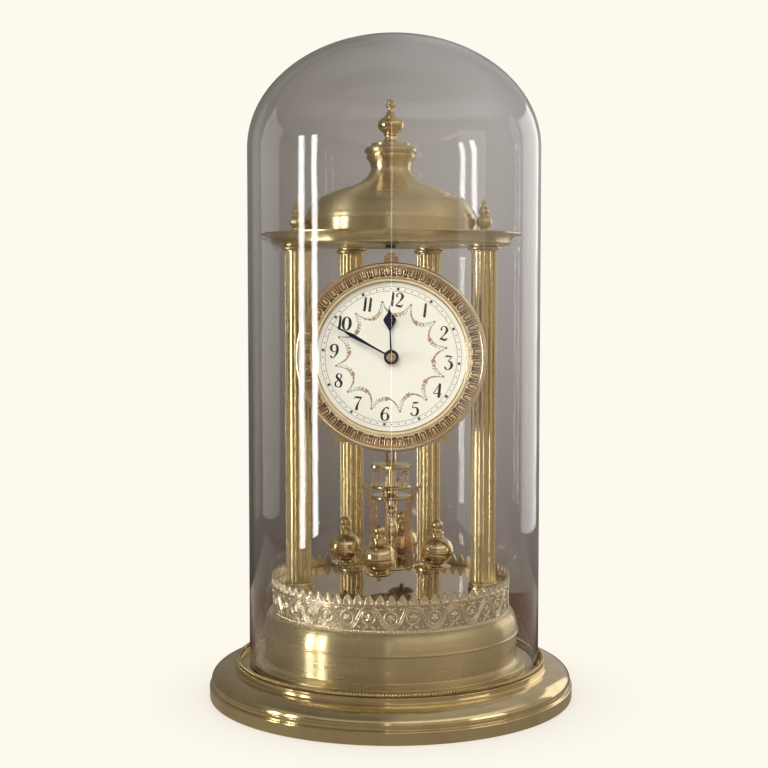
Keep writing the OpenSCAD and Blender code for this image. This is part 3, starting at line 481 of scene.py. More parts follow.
def glass():
    g = Graph("dome_glass")
    coord = g.coord()
    wave = g.noise(coord, 16, 2)
    dust = g.noise(coord, 260, 4)
    bump = g.bump(wave, 0.0002)
    clear = g.node("BsdfPrincipled", {"Base Color": rgb(0.975, 0.975, 0.965), "Transmission Weight": 1, "IOR": 1.45,
        "Roughness": g.span(dust, 0.6, 0.8, 0, 0.03), "Normal": bump})
    shadow = g.node("BsdfTransparent", {"Color": rgb(0.95, 0.95, 0.94)})
    path = g.node("LightPath")
    mixed = g.node("MixShader", {0: path.outputs["Is Shadow Ray"], 1: clear.outputs[0], 2: shadow.outputs[0]})
    return g.finish(mixed.outputs[0])


cast_iron_core = cast_iron()
enamel_cream = enamel()
ink_black = ink("black_ink", rgb(0.008, 0.008, 0.012), rgb(0.016, 0.014, 0.016))
ink_green = ink("green_ink", rgb(0.15, 0.18, 0.11), rgb(0.27, 0.3, 0.21))
ink_rose = ink("rose_ink", rgb(0.4, 0.15, 0.11), rgb(0.55, 0.28, 0.2))
dome_glass = glass()


# ---- foot

fascia_h = 7.5
fascia_r = foot_r - 1.2
ovolo_r = fascia_r - 11.8
step_r = ovolo_r - 2.5
step_z = high("bead_ring").z - 2 * bead_r - 0.6
groove_r = bead_ring_r - bead_r - 0.2
ring_r = hypot(*columns["column_front_left"])

turned("foot_shell", [(fascia_r - 9, 0), (foot_r - 0.2, 0, 0.5), (foot_r, fascia_h - 0.3, 0.6),
    (fascia_r - 0.5, fascia_h + 0.5, 0.3), (fascia_r - 0.5, fascia_h + 2.2, 0.2)]
    + arc((ovolo_r, fascia_h + 2.8), fascia_r - ovolo_r, floor_z - 2.3 - fascia_h - 2.8, 0, 90, 22)
    + [(step_r + 0.8, floor_z - 2.2, 0.5), (step_r, floor_z - 1.6, 0.4), (step_r, step_z + 0.4, 0.5),
    (groove_r, step_z + 0.6, 0.5), (groove_r, floor_z, 0.6), (ring_r - 16, floor_z), (ring_r - 16, floor_z - 1.5),
    (groove_r - 1, floor_z - 1.5), (ovolo_r - 1, floor_z - 3.8)] + arc((ovolo_r, fascia_h + 2.8),
    fascia_r - ovolo_r - 1.5, floor_z - 3.8 - fascia_h - 2.8, 90, 0, 10) + [(fascia_r - 1.5, fascia_h + 0.5),
    (foot_r - 1.5, fascia_h - 1.5), (foot_r - 1.5, 1.5), (fascia_r - 9, 1.5)], brass_foot, seg=256)

# Beads strung round the step
bead_n = int(round(TAU * bead_ring_r / (1.8 * bead_r)))
bead_z = high("bead_ring").z - bead_r
bead = revolve([(0, -bead_r)] + arc((0, 0), bead_r, bead_r, -75, 75, 8) + [(0, bead_r)], 14)
string = revolve(rounded([(bead_ring_r - 0.75, bead_z - bead_r), (bead_ring_r + 0.75, bead_z - bead_r),
    (bead_ring_r + 0.5, bead_z - 0.6), (bead_ring_r - 0.5, bead_z - 0.6)], 0.2), 256)
bead = moved((bead[0] * np.array([1, 0.76, 1]), bead[1]), (bead_ring_r, 0, bead_z))
beads = [moved(bead, turn=i * TAU / bead_n) for i in range(bead_n)]
make("bead_ring", beads, brass_relief)
make("bead_string", [string], brass_old, own=False)

# ---- plinth

edge_z = plinth_top - 12
turned("plinth_drum", [(plinth_r - 7.5, floor_z), (flange_r - 0.2, floor_z, 0.4), (flange_r, floor_z + 2.6, 1),
    (plinth_r + 1.6, floor_z + 3.2, 0.6), (plinth_r - 0.5, floor_z + 4.6, 0.8), (plinth_r - 0.5, edge_z - 0.9, 0.2),
    (plinth_r + 0.55, edge_z - 0.2, 0.25), (plinth_r + 0.55, edge_z + 0.5, 0.2)]
    + spline([(plinth_r + 0.1, edge_z + 1), (plinth_r - 0.2, edge_z + 4), (plinth_r - 1.1, edge_z + 8),
    (plinth_r - 2.6, edge_z + 10.8), (plinth_r - 4.2, plinth_top)], 5) + [(deck_r, plinth_top), (deck_r, deck_z - 1.5),
    (deck_r - 6, deck_z - 1.5), (deck_r - 6, deck_z - 3), (deck_r - 1.5, deck_z - 3), (deck_r - 1.5, plinth_top - 1.5),
    (plinth_r - 4, plinth_top - 1.5), (plinth_r - 1.5, plinth_top - 5), (plinth_r - 1.5, floor_z + 1.5),
    (plinth_r - 7.5, floor_z + 1.5)], brass_drum, seg=256)

# ---- columns

FLUTES = 16
bore_r = 1.62
capital_z = canopy_z - 4.2


def flute(a, r, depth):
    """Radius of a fluted outline: round hollows with narrow flats between them."""
    t = (a * FLUTES / TAU) % 1 - 0.5
    h = np.sqrt(np.clip(1 - (t / 0.39) ** 2, 0, None))
    return r - depth * h ** 1.2


def column(name):
    n = FLUTES * 14
    a = np.arange(n) * TAU / n
    levels = [deck_z + 0.02, deck_z + 3.4, canopy_z - 3.4, canopy_z - 0.02]
    rows = [(flute(a, column_r, 1.15), z) for z in levels] + [(np.full(n, bore_r), z) for z in reversed(levels)]
    rings = [np.stack([r * np.cos(a), r * np.sin(a), np.full(n, z)], 1) for r, z in rows]
    x, y = columns[name]
    place = Matrix.Translation((x * MM, y * MM, 0)) @ Matrix.Rotation(atan2(y, x), 4, "Z")
    make(name, [skin(rings)], brass_column, slot="column_brass", sharp=28, place=place)


for n in columns:
    column(n)

base = rounded(lift([(7.53, 0), (9, 0, 0.3), (9, 1.7, 0.5), (8.35, 2.1, 0.3), (8.75, 3.2, 0.6), (8.1, 4.2, 0.4),
    (7.53, 4.2)], deck_z))
head = rounded([(7.53, capital_z), (8.2, capital_z, 0.3), (8.2, capital_z + 0.5, 0.2)]
    + arc((8.3, canopy_z - 2.3), 1.5, 1.3, -80, 80, 8) + [(8.6, canopy_z), (7.53, canopy_z)])
parts = [moved(revolve(ring, 64), (x, y, 0)) for x, y in columns.values() for ring in (base, head)]
make("column_collars", parts, brass_column, slot="column_brass")

# ---- canopy, roof, cap and finials

canopy_low = canopy_r - 6.5
turned("canopy", [(2.1, canopy_z), (canopy_low - 1, canopy_z, 0.3), (canopy_low, canopy_z + 0.6, 0.3)]
    + arc((canopy_r - 0.8, canopy_z + 0.6), canopy_r - 0.8 - canopy_low, canopy_top - canopy_z - 1.6, 180, 90, 10)[1:]
    + [(canopy_r, canopy_top - 0.9, 0.3), (canopy_r, canopy_top, 0.3), (roof_r - 6, canopy_top),
    (roof_r - 6, canopy_top - 1.5), (canopy_r - 5.5, canopy_top - 1.5), (canopy_low - 1.2, canopy_z + 1.5),
    (2.1, canopy_z + 1.5)], brass_drum, seg=256)

drum_top = canopy_top + 8.8
bell = spline([(51.5, 2.1), (48.2, 7.9), (44.6, 11.5), (36.4, 15.5), (30, 18), (25.9, 19.3), (19.9, 21.4), (16.3, 23.9),
    (13.9, 26.2), (12.1, 29.8), (12.7, 33.7), (14.7, 36.4)], 4)
turned("roof", [(roof_r - 1.5, canopy_top), (roof_r + 0.6, canopy_top, 0.3), (roof_r + 0.6, canopy_top + 1.1, 0.4),
    (roof_r, canopy_top + 1.5, 0.2), (roof_r, drum_top - 0.6, 0.3), (roof_r - 0.4, drum_top, 0.3)]
    + [(r, drum_top + z) for r, z in bell] + [(2.1, neck_top), (2.1, neck_top - 18)]
    + [(r - 1.5, drum_top + z - 1.5) for r, z in reversed(bell[:24])] + [(roof_r - 1.5, drum_top - 1.5)], brass_drum,
    seg=256)

cap_r = 14.7
turned("roof_cap", lift([(2.1, 0), (cap_r - 0.6, 0, 0.2)] + arc((cap_r - 0.9, 1.25), 0.9, 1.25, -60, 60, 8)
    + [(cap_r - 0.3, 2.5, 0.1)] + arc((cap_r - 0.8, 4.6), 1.9, 1.95, -72, 72, 12)
    + [(12.1, 6.8, 0.3), (11.6, 7.6, 0.3), (11.6, cap_top - neck_top, 0.4), (2.1, cap_top - neck_top)], neck_top),
    brass_drum)

turned("roof_finial", lift([(2.1, 0), (5.3, 0, 0.3), (5.2, 1.1, 0.4), (4, 2, 0.6), (3.4, 4, 0.6), (3.5, 4.6, 0.1),
    (4.3, 5, 0.2), (4.2, 5.5, 0.2), (3.9, 5.8, 0.1), (4.9, 6.6, 0.1)] + arc((0, 11.2), 7.9, 5.6, -50, 52, 18)
    + spline([(4.1, 16.2), (3.2, 17.4), (2.1, 19.4), (1.9, 20.9), (2.4, 21.7)], 4) + arc((0, 22.9), 3.35, 1.2, -35, 35, 6)
    + [(1.7, 24, 0.2)] + arc((0, 25.4), 2.4, 1.3, -40, 90, 10) + [(0, 6.4), (2.1, 6.4)], cap_top), brass_weight, seg=96)


def urn():
    """Lobed bud with a leaf crown and a pointed tip."""
    z0 = canopy_top

    def lobes(a, r, z):
        h = (z - z0 - 6.6) / 3.6
        bud = np.exp(-h * h * 1.4) * 0.32 * (np.abs(np.cos(4 * a)) - 0.6)
        leaf = (0.22 if 10.8 < z - z0 < 15.4 else 0) * np.cos(6 * a)
        return bud + leaf

    profile = rounded(lift([(1.6, 0), (2.7, 0, 0.2), (2.9, 1.1, 0.3), (2.1, 1.9, 0.4), (2.3, 2.4, 0.1)]
        + arc((0, 6.6), 4.6, 4.2, -60, 58, 14) + spline([(2.2, 10.6), (2.8, 11.6), (3.1, 12.8), (2.5, 14.4), (1.7, 15.6),
        (1.3, 17), (1.6, 17.8), (1.3, 18.9)], 4) + [(0, 19.6), (0, 7.2), (1.6, 7.2)], z0), 0.2)
    return revolve(profile, 96, lobes)


one_urn = urn()
make("urn_finials", [moved(one_urn, (x, y, 0)) for x, y in columns.values()], brass_relief)

# ---- glass dome

crown_h = 67.5
wall = 2.3
spring_z = dome_top - crown_h
rim_z = floor_z + 0.05


def glass_face(r, top):
    """Outline of one face of the dome, with support rings beside the rim and the spring of the crown."""
    rings = (rim_z + 2, rim_z + 3, spring_z / 2, spring_z - 2, spring_z - 1)
    return [(r, rim_z, 1.1)] + [(r, z) for z in rings] + arc((0, spring_z), r, top - spring_z, 0, 90, 60)[:-1] + [(0, top)]


turned("glass_dome", glass_face(dome_r, dome_top) + glass_face(dome_r - wall, dome_top - wall)[::-1], dome_glass, "dome",
    "dome_glass", seg=256, sharp=60, place=Matrix.Translation((dome_x * MM, 0, 0)))

# ---- gallery

def ridge(d, half):
    """Half-round section of a raised line, by distance from its middle."""
    return np.sqrt(np.clip(1 - (d / half) ** 2, 0, None))


def leaf(u, v, at, turn, length, width, curl=0):
    """Height of a small ribbed leaf lying in the band, with its root at a place and its tip along a direction."""
    c, s = cos(radians(turn)), sin(radians(turn))
    x, y = u - at[0], v - at[1]
    along = (x * c + y * s) / length
    across = -x * s + y * c - curl * (along * length) ** 2 / length
    inside = np.clip(along, 0, 1)
    half = width * np.sin(pi * inside ** 0.8) + 1e-3
    body = np.where((along > 0) & (along < 1), ridge(across, half), 0)
    return body * (0.62 + 0.38 * np.clip(np.abs(across) / (0.5 * half), 0, 1))


def scroll(u, v, period, height):
    """Relief of one wave of the rinceau: a double stem, two volutes with rosettes, leaves, dots and border lines."""
    mid, amp = height * 0.52, height * 0.35
    t = np.linspace(-0.6 * period, 1.6 * period, 700)
    wave = mid + amp * (np.cos(TAU * t / period) - 0.1 * np.cos(3 * TAU * t / period)) / 0.9
    d = np.min(np.hypot(u[..., None] - t, v[..., None] - wave), axis=-1)
    out = 0.72 * ridge(d - 0.62, 0.48)
    for centre_u, side in ((0, 1), (period / 2, -1), (period, 1)):
        cv = mid + side * 0.25
        x, y = u - centre_u, (v - cv) * side
        rho, phi = np.hypot(x, y), np.arctan2(x, y)
        coil = 4.05 - 0.62 * ((phi + pi) / TAU)
        out = np.maximum(out, 0.7 * ridge(rho - coil, 0.5))
        petal = 2 + 0.42 * np.cos(5 * phi)
        out = np.maximum(out, 0.8 * ridge(rho, petal) * (0.72 + 0.28 * np.cos(5 * phi)))
        out = np.maximum(out, 0.95 * ridge(rho, 0.72))
        root = cv + side * -4.4
        for way in (-1, 1):
            out = np.maximum(out, 0.8 * leaf(u, v, (centre_u, root), -side * (90 - way * 52), 4.3, 0.85, way * side * 0.12))
            out = np.maximum(out, 0.65 * leaf(u, v, (centre_u + way * 4.6, mid + side * 3), side * 90 - way * 25, 2.9, 0.6))
        for way in (-1, 1):
            out = np.maximum(out, 0.6 * ridge(np.hypot(u - centre_u - way * 5.6, v - mid + side * 5.1), 0.55))
    bead = (u / period * 16) % 1 - 0.5
    out = np.maximum(out, 0.62 * ridge(np.hypot(bead * period / 16, v - 1), 0.62))
    out = np.maximum(out, 0.5 * ridge(v - 0.25, 0.3))
    out = np.maximum(out, 0.85 * ridge(v - height + 0.45, 0.45))
    return out


def gallery():
    waves, cols, rows = 18, 96, 66
    ground = gallery_r - 0.75
    inner = deck_r + 0.1
    height = 16.4
    period = TAU * gallery_r / waves
    u, v = np.meshgrid(np.arange(cols) / cols * period, np.linspace(0, height, rows))
    tile = np.tile(scroll(u, v, period, height), (1, waves))
    n = cols * waves
    a = np.arange(n) * TAU / n
    r = np.vstack([ground + 0.72 * tile, np.full((2, n), inner)])
    z = np.concatenate([np.linspace(0, height, rows), [height, 0]]) + plinth_top
    parts = [skin(np.stack([r * np.cos(a), r * np.sin(a), np.repeat(z[:, None], n, 1)], -1))]

    # Cresting of hollow pointed leaves with two small bars between neighbours
    count = 72
    tall = gallery_top - plinth_top - height
    s = np.linspace(0, 1, 12)
    half = 2.5 * np.clip(1 - s ** 2.4, 0.008, 1) ** 0.85
    t = np.array([-1, -0.9, -0.78, -0.62, -0.3, 0, 0.3, 0.62, 0.78, 0.9, 1])
    S, T = np.meshgrid(s, t, indexing="ij")
    H = 0.62 * ridge(np.abs(T) - 0.8, 0.22) + 0.25 * ridge(T, 0.2) * (1 - S)
    H = np.maximum(H, 0.62 * ridge(S - 0.06, 0.1)) + 0.12
    X = half[:, None] * T
    Z = S * (tall + 0.3) - 0.3
    gs, gt = S.shape

    def sheet(x, z, h, at):
        ang = at + x / gallery_r
        rad = gallery_r - 0.55 + h
        return np.stack([rad * np.cos(ang), rad * np.sin(ang), z + plinth_top + height], -1).reshape(-1, 3)

    off = gs * gt
    idx = np.arange(off).reshape(gs, gt)
    front = np.stack([idx[:-1, :-1], idx[:-1, 1:], idx[1:, 1:], idx[1:, :-1]], -1).reshape(-1, 4)
    edge = np.concatenate([idx[0], idx[1:, -1], idx[-1, -2::-1], idx[-2:0:-1, 0]])
    rim = np.stack([np.roll(edge, 1), edge, edge + off, np.roll(edge, 1) + off], 1)
    leaf_faces = np.concatenate([front, front[:, ::-1] + off, rim]).tolist()
    rod = revolve(lift([(0, -0.2), (0.34, -0.2), (0.34, 2), (0.2, 2.3), (0, 2.35)], plinth_top + height), 8)
    for i in range(count):
        at = i * TAU / count
        parts.append((np.concatenate([sheet(X, Z, H, at), sheet(X, Z, np.full_like(X, -0.5), at)]), leaf_faces))
        for way in (-0.55, 0.55):
            parts.append(around(rod, gallery_r - 0.6, at + TAU / count / 2 + way / gallery_r))
    make("gallery_band", parts, brass_gallery, sharp=40)


gallery()

turned("deck_plate", [(0, deck_z - 1.5), (deck_r - 0.05, deck_z - 1.5), (deck_r - 0.05, deck_z, 0.2), (0, deck_z)],
    brass_mirror, seg=192, fillet=0.2)

# ---- bezel and dial, turned about the dial's own axis

FACE = Matrix.Translation((0, 0, dial_z * MM)) @ Matrix.Rotation(radians(90), 4, "X")
face_y = -dial_y
band_in, band_out = bezel_r - 8.4, bezel_r - 3.1


def egg_and_dart(a, r, z):
    if not band_in < r < band_out or z < face_y + 5.2:
        return np.zeros_like(a)
    cell = ((a * 45 / TAU) % 1 - 0.5) * TAU / 45 * r
    pitch = TAU / 45 * r
    y = r - band_in - 2.3
    d = np.hypot(cell, min(y, 0))
    rim = 0.95 * ridge(d - 2, 0.55)
    egg = 0.85 * ridge(d, 1.1)
    dart = 0.6 * ridge(np.abs(cell) - pitch / 2, 0.12 + 0.4 * max(0, (r - band_in) / (band_out - band_in)))
    fade = min(1, (r - band_in) / 0.5, (band_out - r) / 0.4)
    return (np.maximum(np.maximum(rim, egg), dart) - 0.25) * max(fade, 0)


band = [(band_out - (band_out - band_in) * i / 30, face_y + 6.15) for i in range(31)]
v, f = revolve(rounded([(30, face_y - 1.8), (bezel_r - 1.7, face_y - 1.8, 0.4), (bezel_r - 0.6, face_y - 0.8, 0.5),
    (bezel_r - 0.6, face_y + 4.9, 0.3)] + arc((bezel_r - 1.45, face_y + 6.2), 1.45, 1.45, -40, 165, 14)
    + [(bezel_r - 2.95, face_y + 5.9, 0.1), (band_out + 0.02, face_y + 6.2, 0.1)], 0.2, closed=False) + band
    + rounded([(band_in, band[-1][1]), (band_in - 0.25, face_y + 5.55, 0.1), (band_in - 0.7, face_y + 5.4, 0.3),
    (band_in - 1.1, face_y + 4.9, 0.3), (dial_r - 0.6, face_y + 1.8, 0.6), (dial_r - 1.3, face_y + 1.2, 0.3),
    (dial_r - 1.3, face_y + 0.05), (dial_r + 0.05, face_y + 0.05), (dial_r + 0.05, face_y - 1.02), (30, face_y - 1.02)],
    0.2, closed=False), 45 * 40, egg_and_dart)
foot = revolve([(0, 42), (2, 42), (2, face_y - 1.75), (0, face_y - 1.75)], 32)
feet = [around(foot, 34, radians(a)) for a in (35, 145, 270)]
make("bezel", [(v, f)] + feet, brass_bezel, slot="bezel_brass", sharp=35, place=FACE)

turned("dial", [(3.4, face_y - 1), (dial_r, face_y - 1), (dial_r, face_y, 0.5), (3.4, face_y, 0.2)], enamel_cream,
    slot="enamel_dial", seg=192, place=FACE)

PRINT = (face_y + 0.002, face_y + 0.03)


def ribbon(points, z, closed=False, n=6, smooth=True):
    """Flat line whose third number is its width, as a closed strip."""
    pts = spline(points, n, closed) if smooth else [tuple(p) for p in points]
    count = len(pts)
    verts = []
    for i, (x, y, w) in enumerate(pts):
        a = pts[(i - 1) % count] if closed else pts[max(i - 1, 0)]
        b = pts[(i + 1) % count] if closed else pts[min(i + 1, count - 1)]
        d = Vector((b[0] - a[0], b[1] - a[1]))
        d = d.normalized() if d.length > 1e-9 else Vector((1, 0))
        for side in (0.5, -0.5):
            for zz in (z[1], z[0]):
                verts.append((x - d.y * w * side, y + d.x * w * side, zz))
    faces = []
    for i in range(count if closed else count - 1):
        a, b = 4 * i, 4 * ((i + 1) % count)
        faces += [(a, a + 2, b + 2, b), (a + 1, b + 1, b + 3, a + 3), (a, b, b + 1, a + 1), (a + 2, a + 3, b + 3, b + 2)]
    if not closed:
        e = 4 * (count - 1)
        faces += [(0, 1, 3, 2), (e, e + 2, e + 3, e + 1)]
    return np.array(verts, float), faces


def dot(x, y, r):
    """Small printed disc."""
    return moved(slab(circle(r, 14), *PRINT), (x, y, 0))


SIX = [[(0.17, 0.88, 0.11), (0.1, 0.97, 0.06), (-0.06, 0.9, 0.07), (-0.2, 0.66, 0.12), (-0.25, 0.4, 0.15),
    (-0.19, 0.12, 0.12), (-0.03, 0.015, 0.05), (0.14, 0.08, 0.09), (0.22, 0.28, 0.15), (0.14, 0.49, 0.09),
    (0, 0.555, 0.045), (-0.17, 0.46, 0.04)]]
DIGITS = {"0": [[(0.25 * cos(t), 0.5 + 0.47 * sin(t), 0.045 + 0.13 * abs(cos(t)) ** 1.6)
    for t in np.arange(16) * TAU / 16]], "1": [[(0.02, 1, 0.12), (0.015, 0.5, 0.14), (0, 0, 0.15)]],
    "2": [[(-0.18, 0.74, 0.12), (-0.21, 0.84, 0.07), (-0.1, 0.965, 0.05), (0.08, 0.97, 0.08), (0.2, 0.8, 0.15),
    (0.17, 0.62, 0.13), (0.02, 0.38, 0.06), (-0.22, 0.08, 0.05)], [(-0.25, 0.05, 0.03), (-0.13, 0.09, 0.1),
    (0.03, 0.055, 0.13), (0.18, 0.06, 0.1), (0.26, 0.2, 0.04)]], "3": [[(-0.21, 0.85, 0.04), (-0.19, 0.95, 0.09),
    (0, 0.955, 0.09), (0.21, 0.95, 0.05)], [(0.2, 0.95, 0.045), (-0.04, 0.6, 0.05)],
    [(-0.05, 0.6, 0.05), (0.1, 0.58, 0.08), (0.23, 0.42, 0.15), (0.22, 0.2, 0.14), (0.08, 0.03, 0.06),
    (-0.12, 0.03, 0.06), (-0.21, 0.14, 0.12)]], "4": [[(0.1, 1, 0.05), (-0.09, 0.62, 0.05), (-0.29, 0.27, 0.05)],
    [(-0.3, 0.26, 0.05), (0.29, 0.26, 0.06)], [(0.11, 1, 0.13), (0.11, 0.5, 0.15), (0.11, 0, 0.15)],
    [(-0.01, 0.02, 0.04), (0.23, 0.02, 0.04)]], "5": [[(-0.13, 0.95, 0.08), (0.03, 0.95, 0.11), (0.22, 0.98, 0.05)],
    [(-0.14, 0.97, 0.04), (-0.17, 0.55, 0.05)], [(-0.17, 0.54, 0.04), (0, 0.62, 0.06), (0.18, 0.54, 0.12),
    (0.24, 0.32, 0.15), (0.15, 0.08, 0.1), (-0.02, 0.015, 0.05), (-0.16, 0.06, 0.07), (-0.21, 0.17, 0.12)]], "6": SIX,
    "7": [[(-0.23, 0.8, 0.04), (-0.2, 0.93, 0.07), (-0.05, 0.93, 0.12), (0.1, 0.91, 0.11), (0.26, 0.98, 0.04)],
    [(0.25, 0.97, 0.04), (0.08, 0.62, 0.06), (-0.02, 0.3, 0.12), (-0.04, 0, 0.16)]],
    "8": [[(0, 0.985, 0.05), (-0.16, 0.87, 0.1), (-0.13, 0.69, 0.13), (0.05, 0.53, 0.14), (0.2, 0.35, 0.15),
    (0.17, 0.1, 0.1), (0, 0.015, 0.05), (-0.19, 0.12, 0.09), (-0.19, 0.34, 0.08), (-0.04, 0.5, 0.05),
    (0.13, 0.67, 0.07), (0.16, 0.87, 0.07)]], "9": [[(-x, 1 - y, w) for x, y, w in SIX[0]]], }
CLOSED = "08"


def digit(name, at, size):
    out = []
    for stroke in DIGITS[name]:
        pts = [(at[0] + x * size, at[1] + (y - 0.5) * size, 1.25 * w * size) for x, y, w in stroke]
        out.append(ribbon(pts, PRINT, closed=name in CLOSED, n=6))
    for stroke in DIGITS[name]:
        for x, y, w in (stroke[0], stroke[-1]):
            if name not in CLOSED and name != "1" and w > 0.1 and y not in (0, 1):
                out.append(dot(at[0] + x * size, at[1] + (y - 0.5) * size, w * size * 0.52))
    return out


dial_turn = radians(-5.8)


def on_dial(r, clock_deg):
    """Place on the dial by radius and angle clockwise from its twelve."""
    a = radians(90 - clock_deg) + dial_turn
    return r * cos(a), r * sin(a)


def turned_part(part, at):
    return moved(part, (*at, 0), dial_turn)


numerals = []
size = 8.0
for h in range(1, 13):
    places = (0,) if h < 10 else (-0.18, 0.18) if h == 11 else (-0.33, 0.16)
    for name, x in zip(str(h), places):
        numerals += [turned_part(g, on_dial(32.6, 30 * h)) for g in digit(name, (x * size, 0), size)]
make("dial_numerals", numerals, ink_black, slot="enamel_dial", own=False, place=FACE)

track = []
for r, w in ((39.9, 0.2), (37.4, 0.2)):
    track.append(ribbon([(r * cos(t), r * sin(t), w) for t in np.arange(180) * TAU / 180], PRINT, True, smooth=False))
for i in range(60):
    x, y = on_dial(38.65, 6 * i)
    if i % 5:
        track.append(dot(x, y, 0.37))
    else:
        star = [(x * (0.6 if k % 2 else 1.25), y * (0.6 if k % 2 else 1.25)) for k, (x, y) in enumerate(circle(1, 16))]
        track.append(turned_part(slab(star, *PRINT), on_dial(38.65, 6 * i)))
make("dial_minute_track", track, ink_black, slot="enamel_dial", own=False, place=FACE)

leaves, flowers = [], []
rng = np.random.default_rng(7)
for h in range(12):
    c = on_dial(31.4, 30 * h)
    inward = atan2(-c[1], -c[0])
    stem = []
    for t in np.linspace(-84, 84, 15):
        a = inward + radians(t)
        rr = 7.35 + 0.5 * cos(radians(t) * 4)
        stem.append((c[0] + rr * cos(a), c[1] + rr * sin(a), 0.22))
    leaves.append(ribbon(stem, PRINT, n=3))
    for k, t in enumerate(np.linspace(-76, 76, 27)):
        a = inward + radians(t)
        big = 0.45 + 0.55 * cos(radians(t))
        way = 1 if k % 2 else -1
        rr = 7.35 + way * 0.42 * big
        x, y = c[0] + rr * cos(a), c[1] + rr * sin(a)
        tilt = a + pi / 2 * (1 if t < 0 else -1) + way * 0.6 + rng.uniform(-0.25, 0.25)
        long = (1.45 + rng.uniform(-0.2, 0.3)) * big
        shape = [(x, y, 0.05), (x + 0.5 * long * cos(tilt), y + 0.5 * long * sin(tilt), 0.8 * big),
            (x + long * cos(tilt), y + long * sin(tilt), 0.05)]
        leaves.append(ribbon(shape, PRINT, n=3))
    for t, size_f in ((0, 1.35), (-19, 0.85), (20, 0.8), (-34, 0.5), (35, 0.5)):
        a = inward + radians(t)
        x, y = c[0] + 7.5 * cos(a), c[1] + 7.5 * sin(a)
        flower = [(px * (0.98 - 0.3 * (k % 2)), py * (0.98 - 0.3 * (k % 2))) for k, (px, py) in enumerate(circle(size_f, 10))]
        flowers.append(moved(slab(flower, PRINT[0], PRINT[1] + 0.01), (x, y, 0), turn=h))
    x, y = on_dial(31.5, 30 * h + 15)
    flowers.append(dot(x, y, 0.72))
make("dial_garlands", leaves, ink_green, slot="enamel_dial", own=False, place=FACE)
make("dial_flowers", flowers, ink_rose, slot="enamel_dial", own=False, place=FACE)

# ---- hands


def bevelled(obj, width, angle=30, segments=2):
    b = obj.modifiers.new("edge", "BEVEL")
    b.width, b.segments, b.limit_method, b.angle_limit = width * MM, segments, "ANGLE", radians(angle)
    return obj


def hand(name, half, hub, bore, turn, body):
    """Blued hand: a blade given by its half-widths along its length, and a ring round the hub."""
    front = -high(name).y
    right = spline([(y * reach, w) for y, w in half], 5)
    outline = [(w, y) for y, w in right] + [(-w, y) for y, w in reversed(right)]
    blade = slab(outline, front, front + 0.62)
    ring = revolve(rounded([(bore, front - 0.02), (hub, front - 0.02), (hub, front + 0.68, 0.3),
        (bore, front + 0.68, 0.15)], 0.1), 64)
    bevelled(make(name, [moved(blade, turn=-radians(turn)), ring], blued, body, "blued_steel", place=FACE), 0.1)


reach = 39.1 / 41
hand("hour_hand", [(3.9, 0.62), (8, 0.5), (14.6, 0.45), (16.2, 0.75), (18, 1.7), (20.8, 3.2), (22.3, 3.62), (23.6, 2.95),
    (25.6, 1.5), (27.6, 0.55), (29.4, 0.2), (31, 0.06)], 4.2, 2.92, 357.7, "hour")
hand("minute_hand", [(3.1, 0.62), (6, 0.5), (14, 0.62), (20, 0.95), (25.5, 1.12), (29.5, 0.8), (32, 0.4), (33, 0.62),
    (34, 0.38), (37, 0.16), (41, 0.05)], 3.4, 1.82, 299.2, "centre")
nut_back, nut_front = -high("hand_nut").y, -low("hand_nut").y
turned("hand_nut", [(1.02, nut_back), (2.6, nut_back, 0.2), (2.6, nut_front - 0.3, 0.5), (1.9, nut_front, 0.3),
    (1.02, nut_front, 0.1)], brass_weight, "centre", seg=64, place=FACE, fillet=0.1)

# ---- pendulum

w, top = weight_z, weight_z + 8.9
ball_profile = rounded([(0, carrier_z + 2.02), (2.6, carrier_z + 2.02, 0.2)] + arc((0, w), 10, 9.2, -75, -2.2, 18)
    + [(9.86, w, 0.05)] + arc((0, w), 10, 8.9, 2.2, 69, 16) + [(3.5, top + 0.3, 0.2), (4.1, top + 0.9, 0.3),
    (4.1, top + 1.7, 0.4), (3.4, top + 2.6, 0.4), (2.1, top + 3.2, 0.4)] + arc((0, top + 6.4), 3.3, 3.3, -52, 60, 14)
    + [(0.9, top + 9.7, 0.3), (0, top + 9.8)], 0.1)
drop = rounded(lift([(0, -3.4), (0.9, -3.35, 0.3), (1.9, -2.1, 0.5), (1.2, -1.1, 0.3), (2.7, -0.02, 0.2), (0, -0.02)],
    carrier_z), 0.1)
pin = lift([(0, -0.5), (0.9, -0.5), (0.9, 3), (0, 3)], carrier_z)
parts = []
for i in range(4):
    a = pendulum_turn + i * TAU / 4
    parts += [around(revolve(outline, n), weight_ring_r, a) for outline, n in ((ball_profile, 96), (drop, 32), (pin, 24))]
make("weights", parts, brass_weight, "pendulum")

dish = rounded(lift([(1.12, 0), (6, 0, 0.5), (8.5, 1.3, 0.3), (8.5, 2, 0.2), (7.6, 1.9, 0.2), (4.4, 1.98, 0.3),
    (1.12, 1.98)], carrier_z), 0.1)
hub = rounded(lift([(0, 0), (14.6, 0, 0.5), (16, 1, 0.5), (15.2, 2, 0.4), (0, 2)], carrier_z), 0.2)
parts = [revolve(hub, 96)]
for i in range(4):
    a = pendulum_turn + i * TAU / 4
    arm = slab([(9, -2.3), (16, -2.1), (20.8, -2.5), (20.8, 2.5), (16, 2.1), (9, 2.3)], carrier_z + 0.15, carrier_z + 1.85)
    parts += [moved(arm, turn=a), around(revolve(dish, 64), weight_ring_r, a)]
make("weight_carrier", parts, brass_weight, "pendulum")

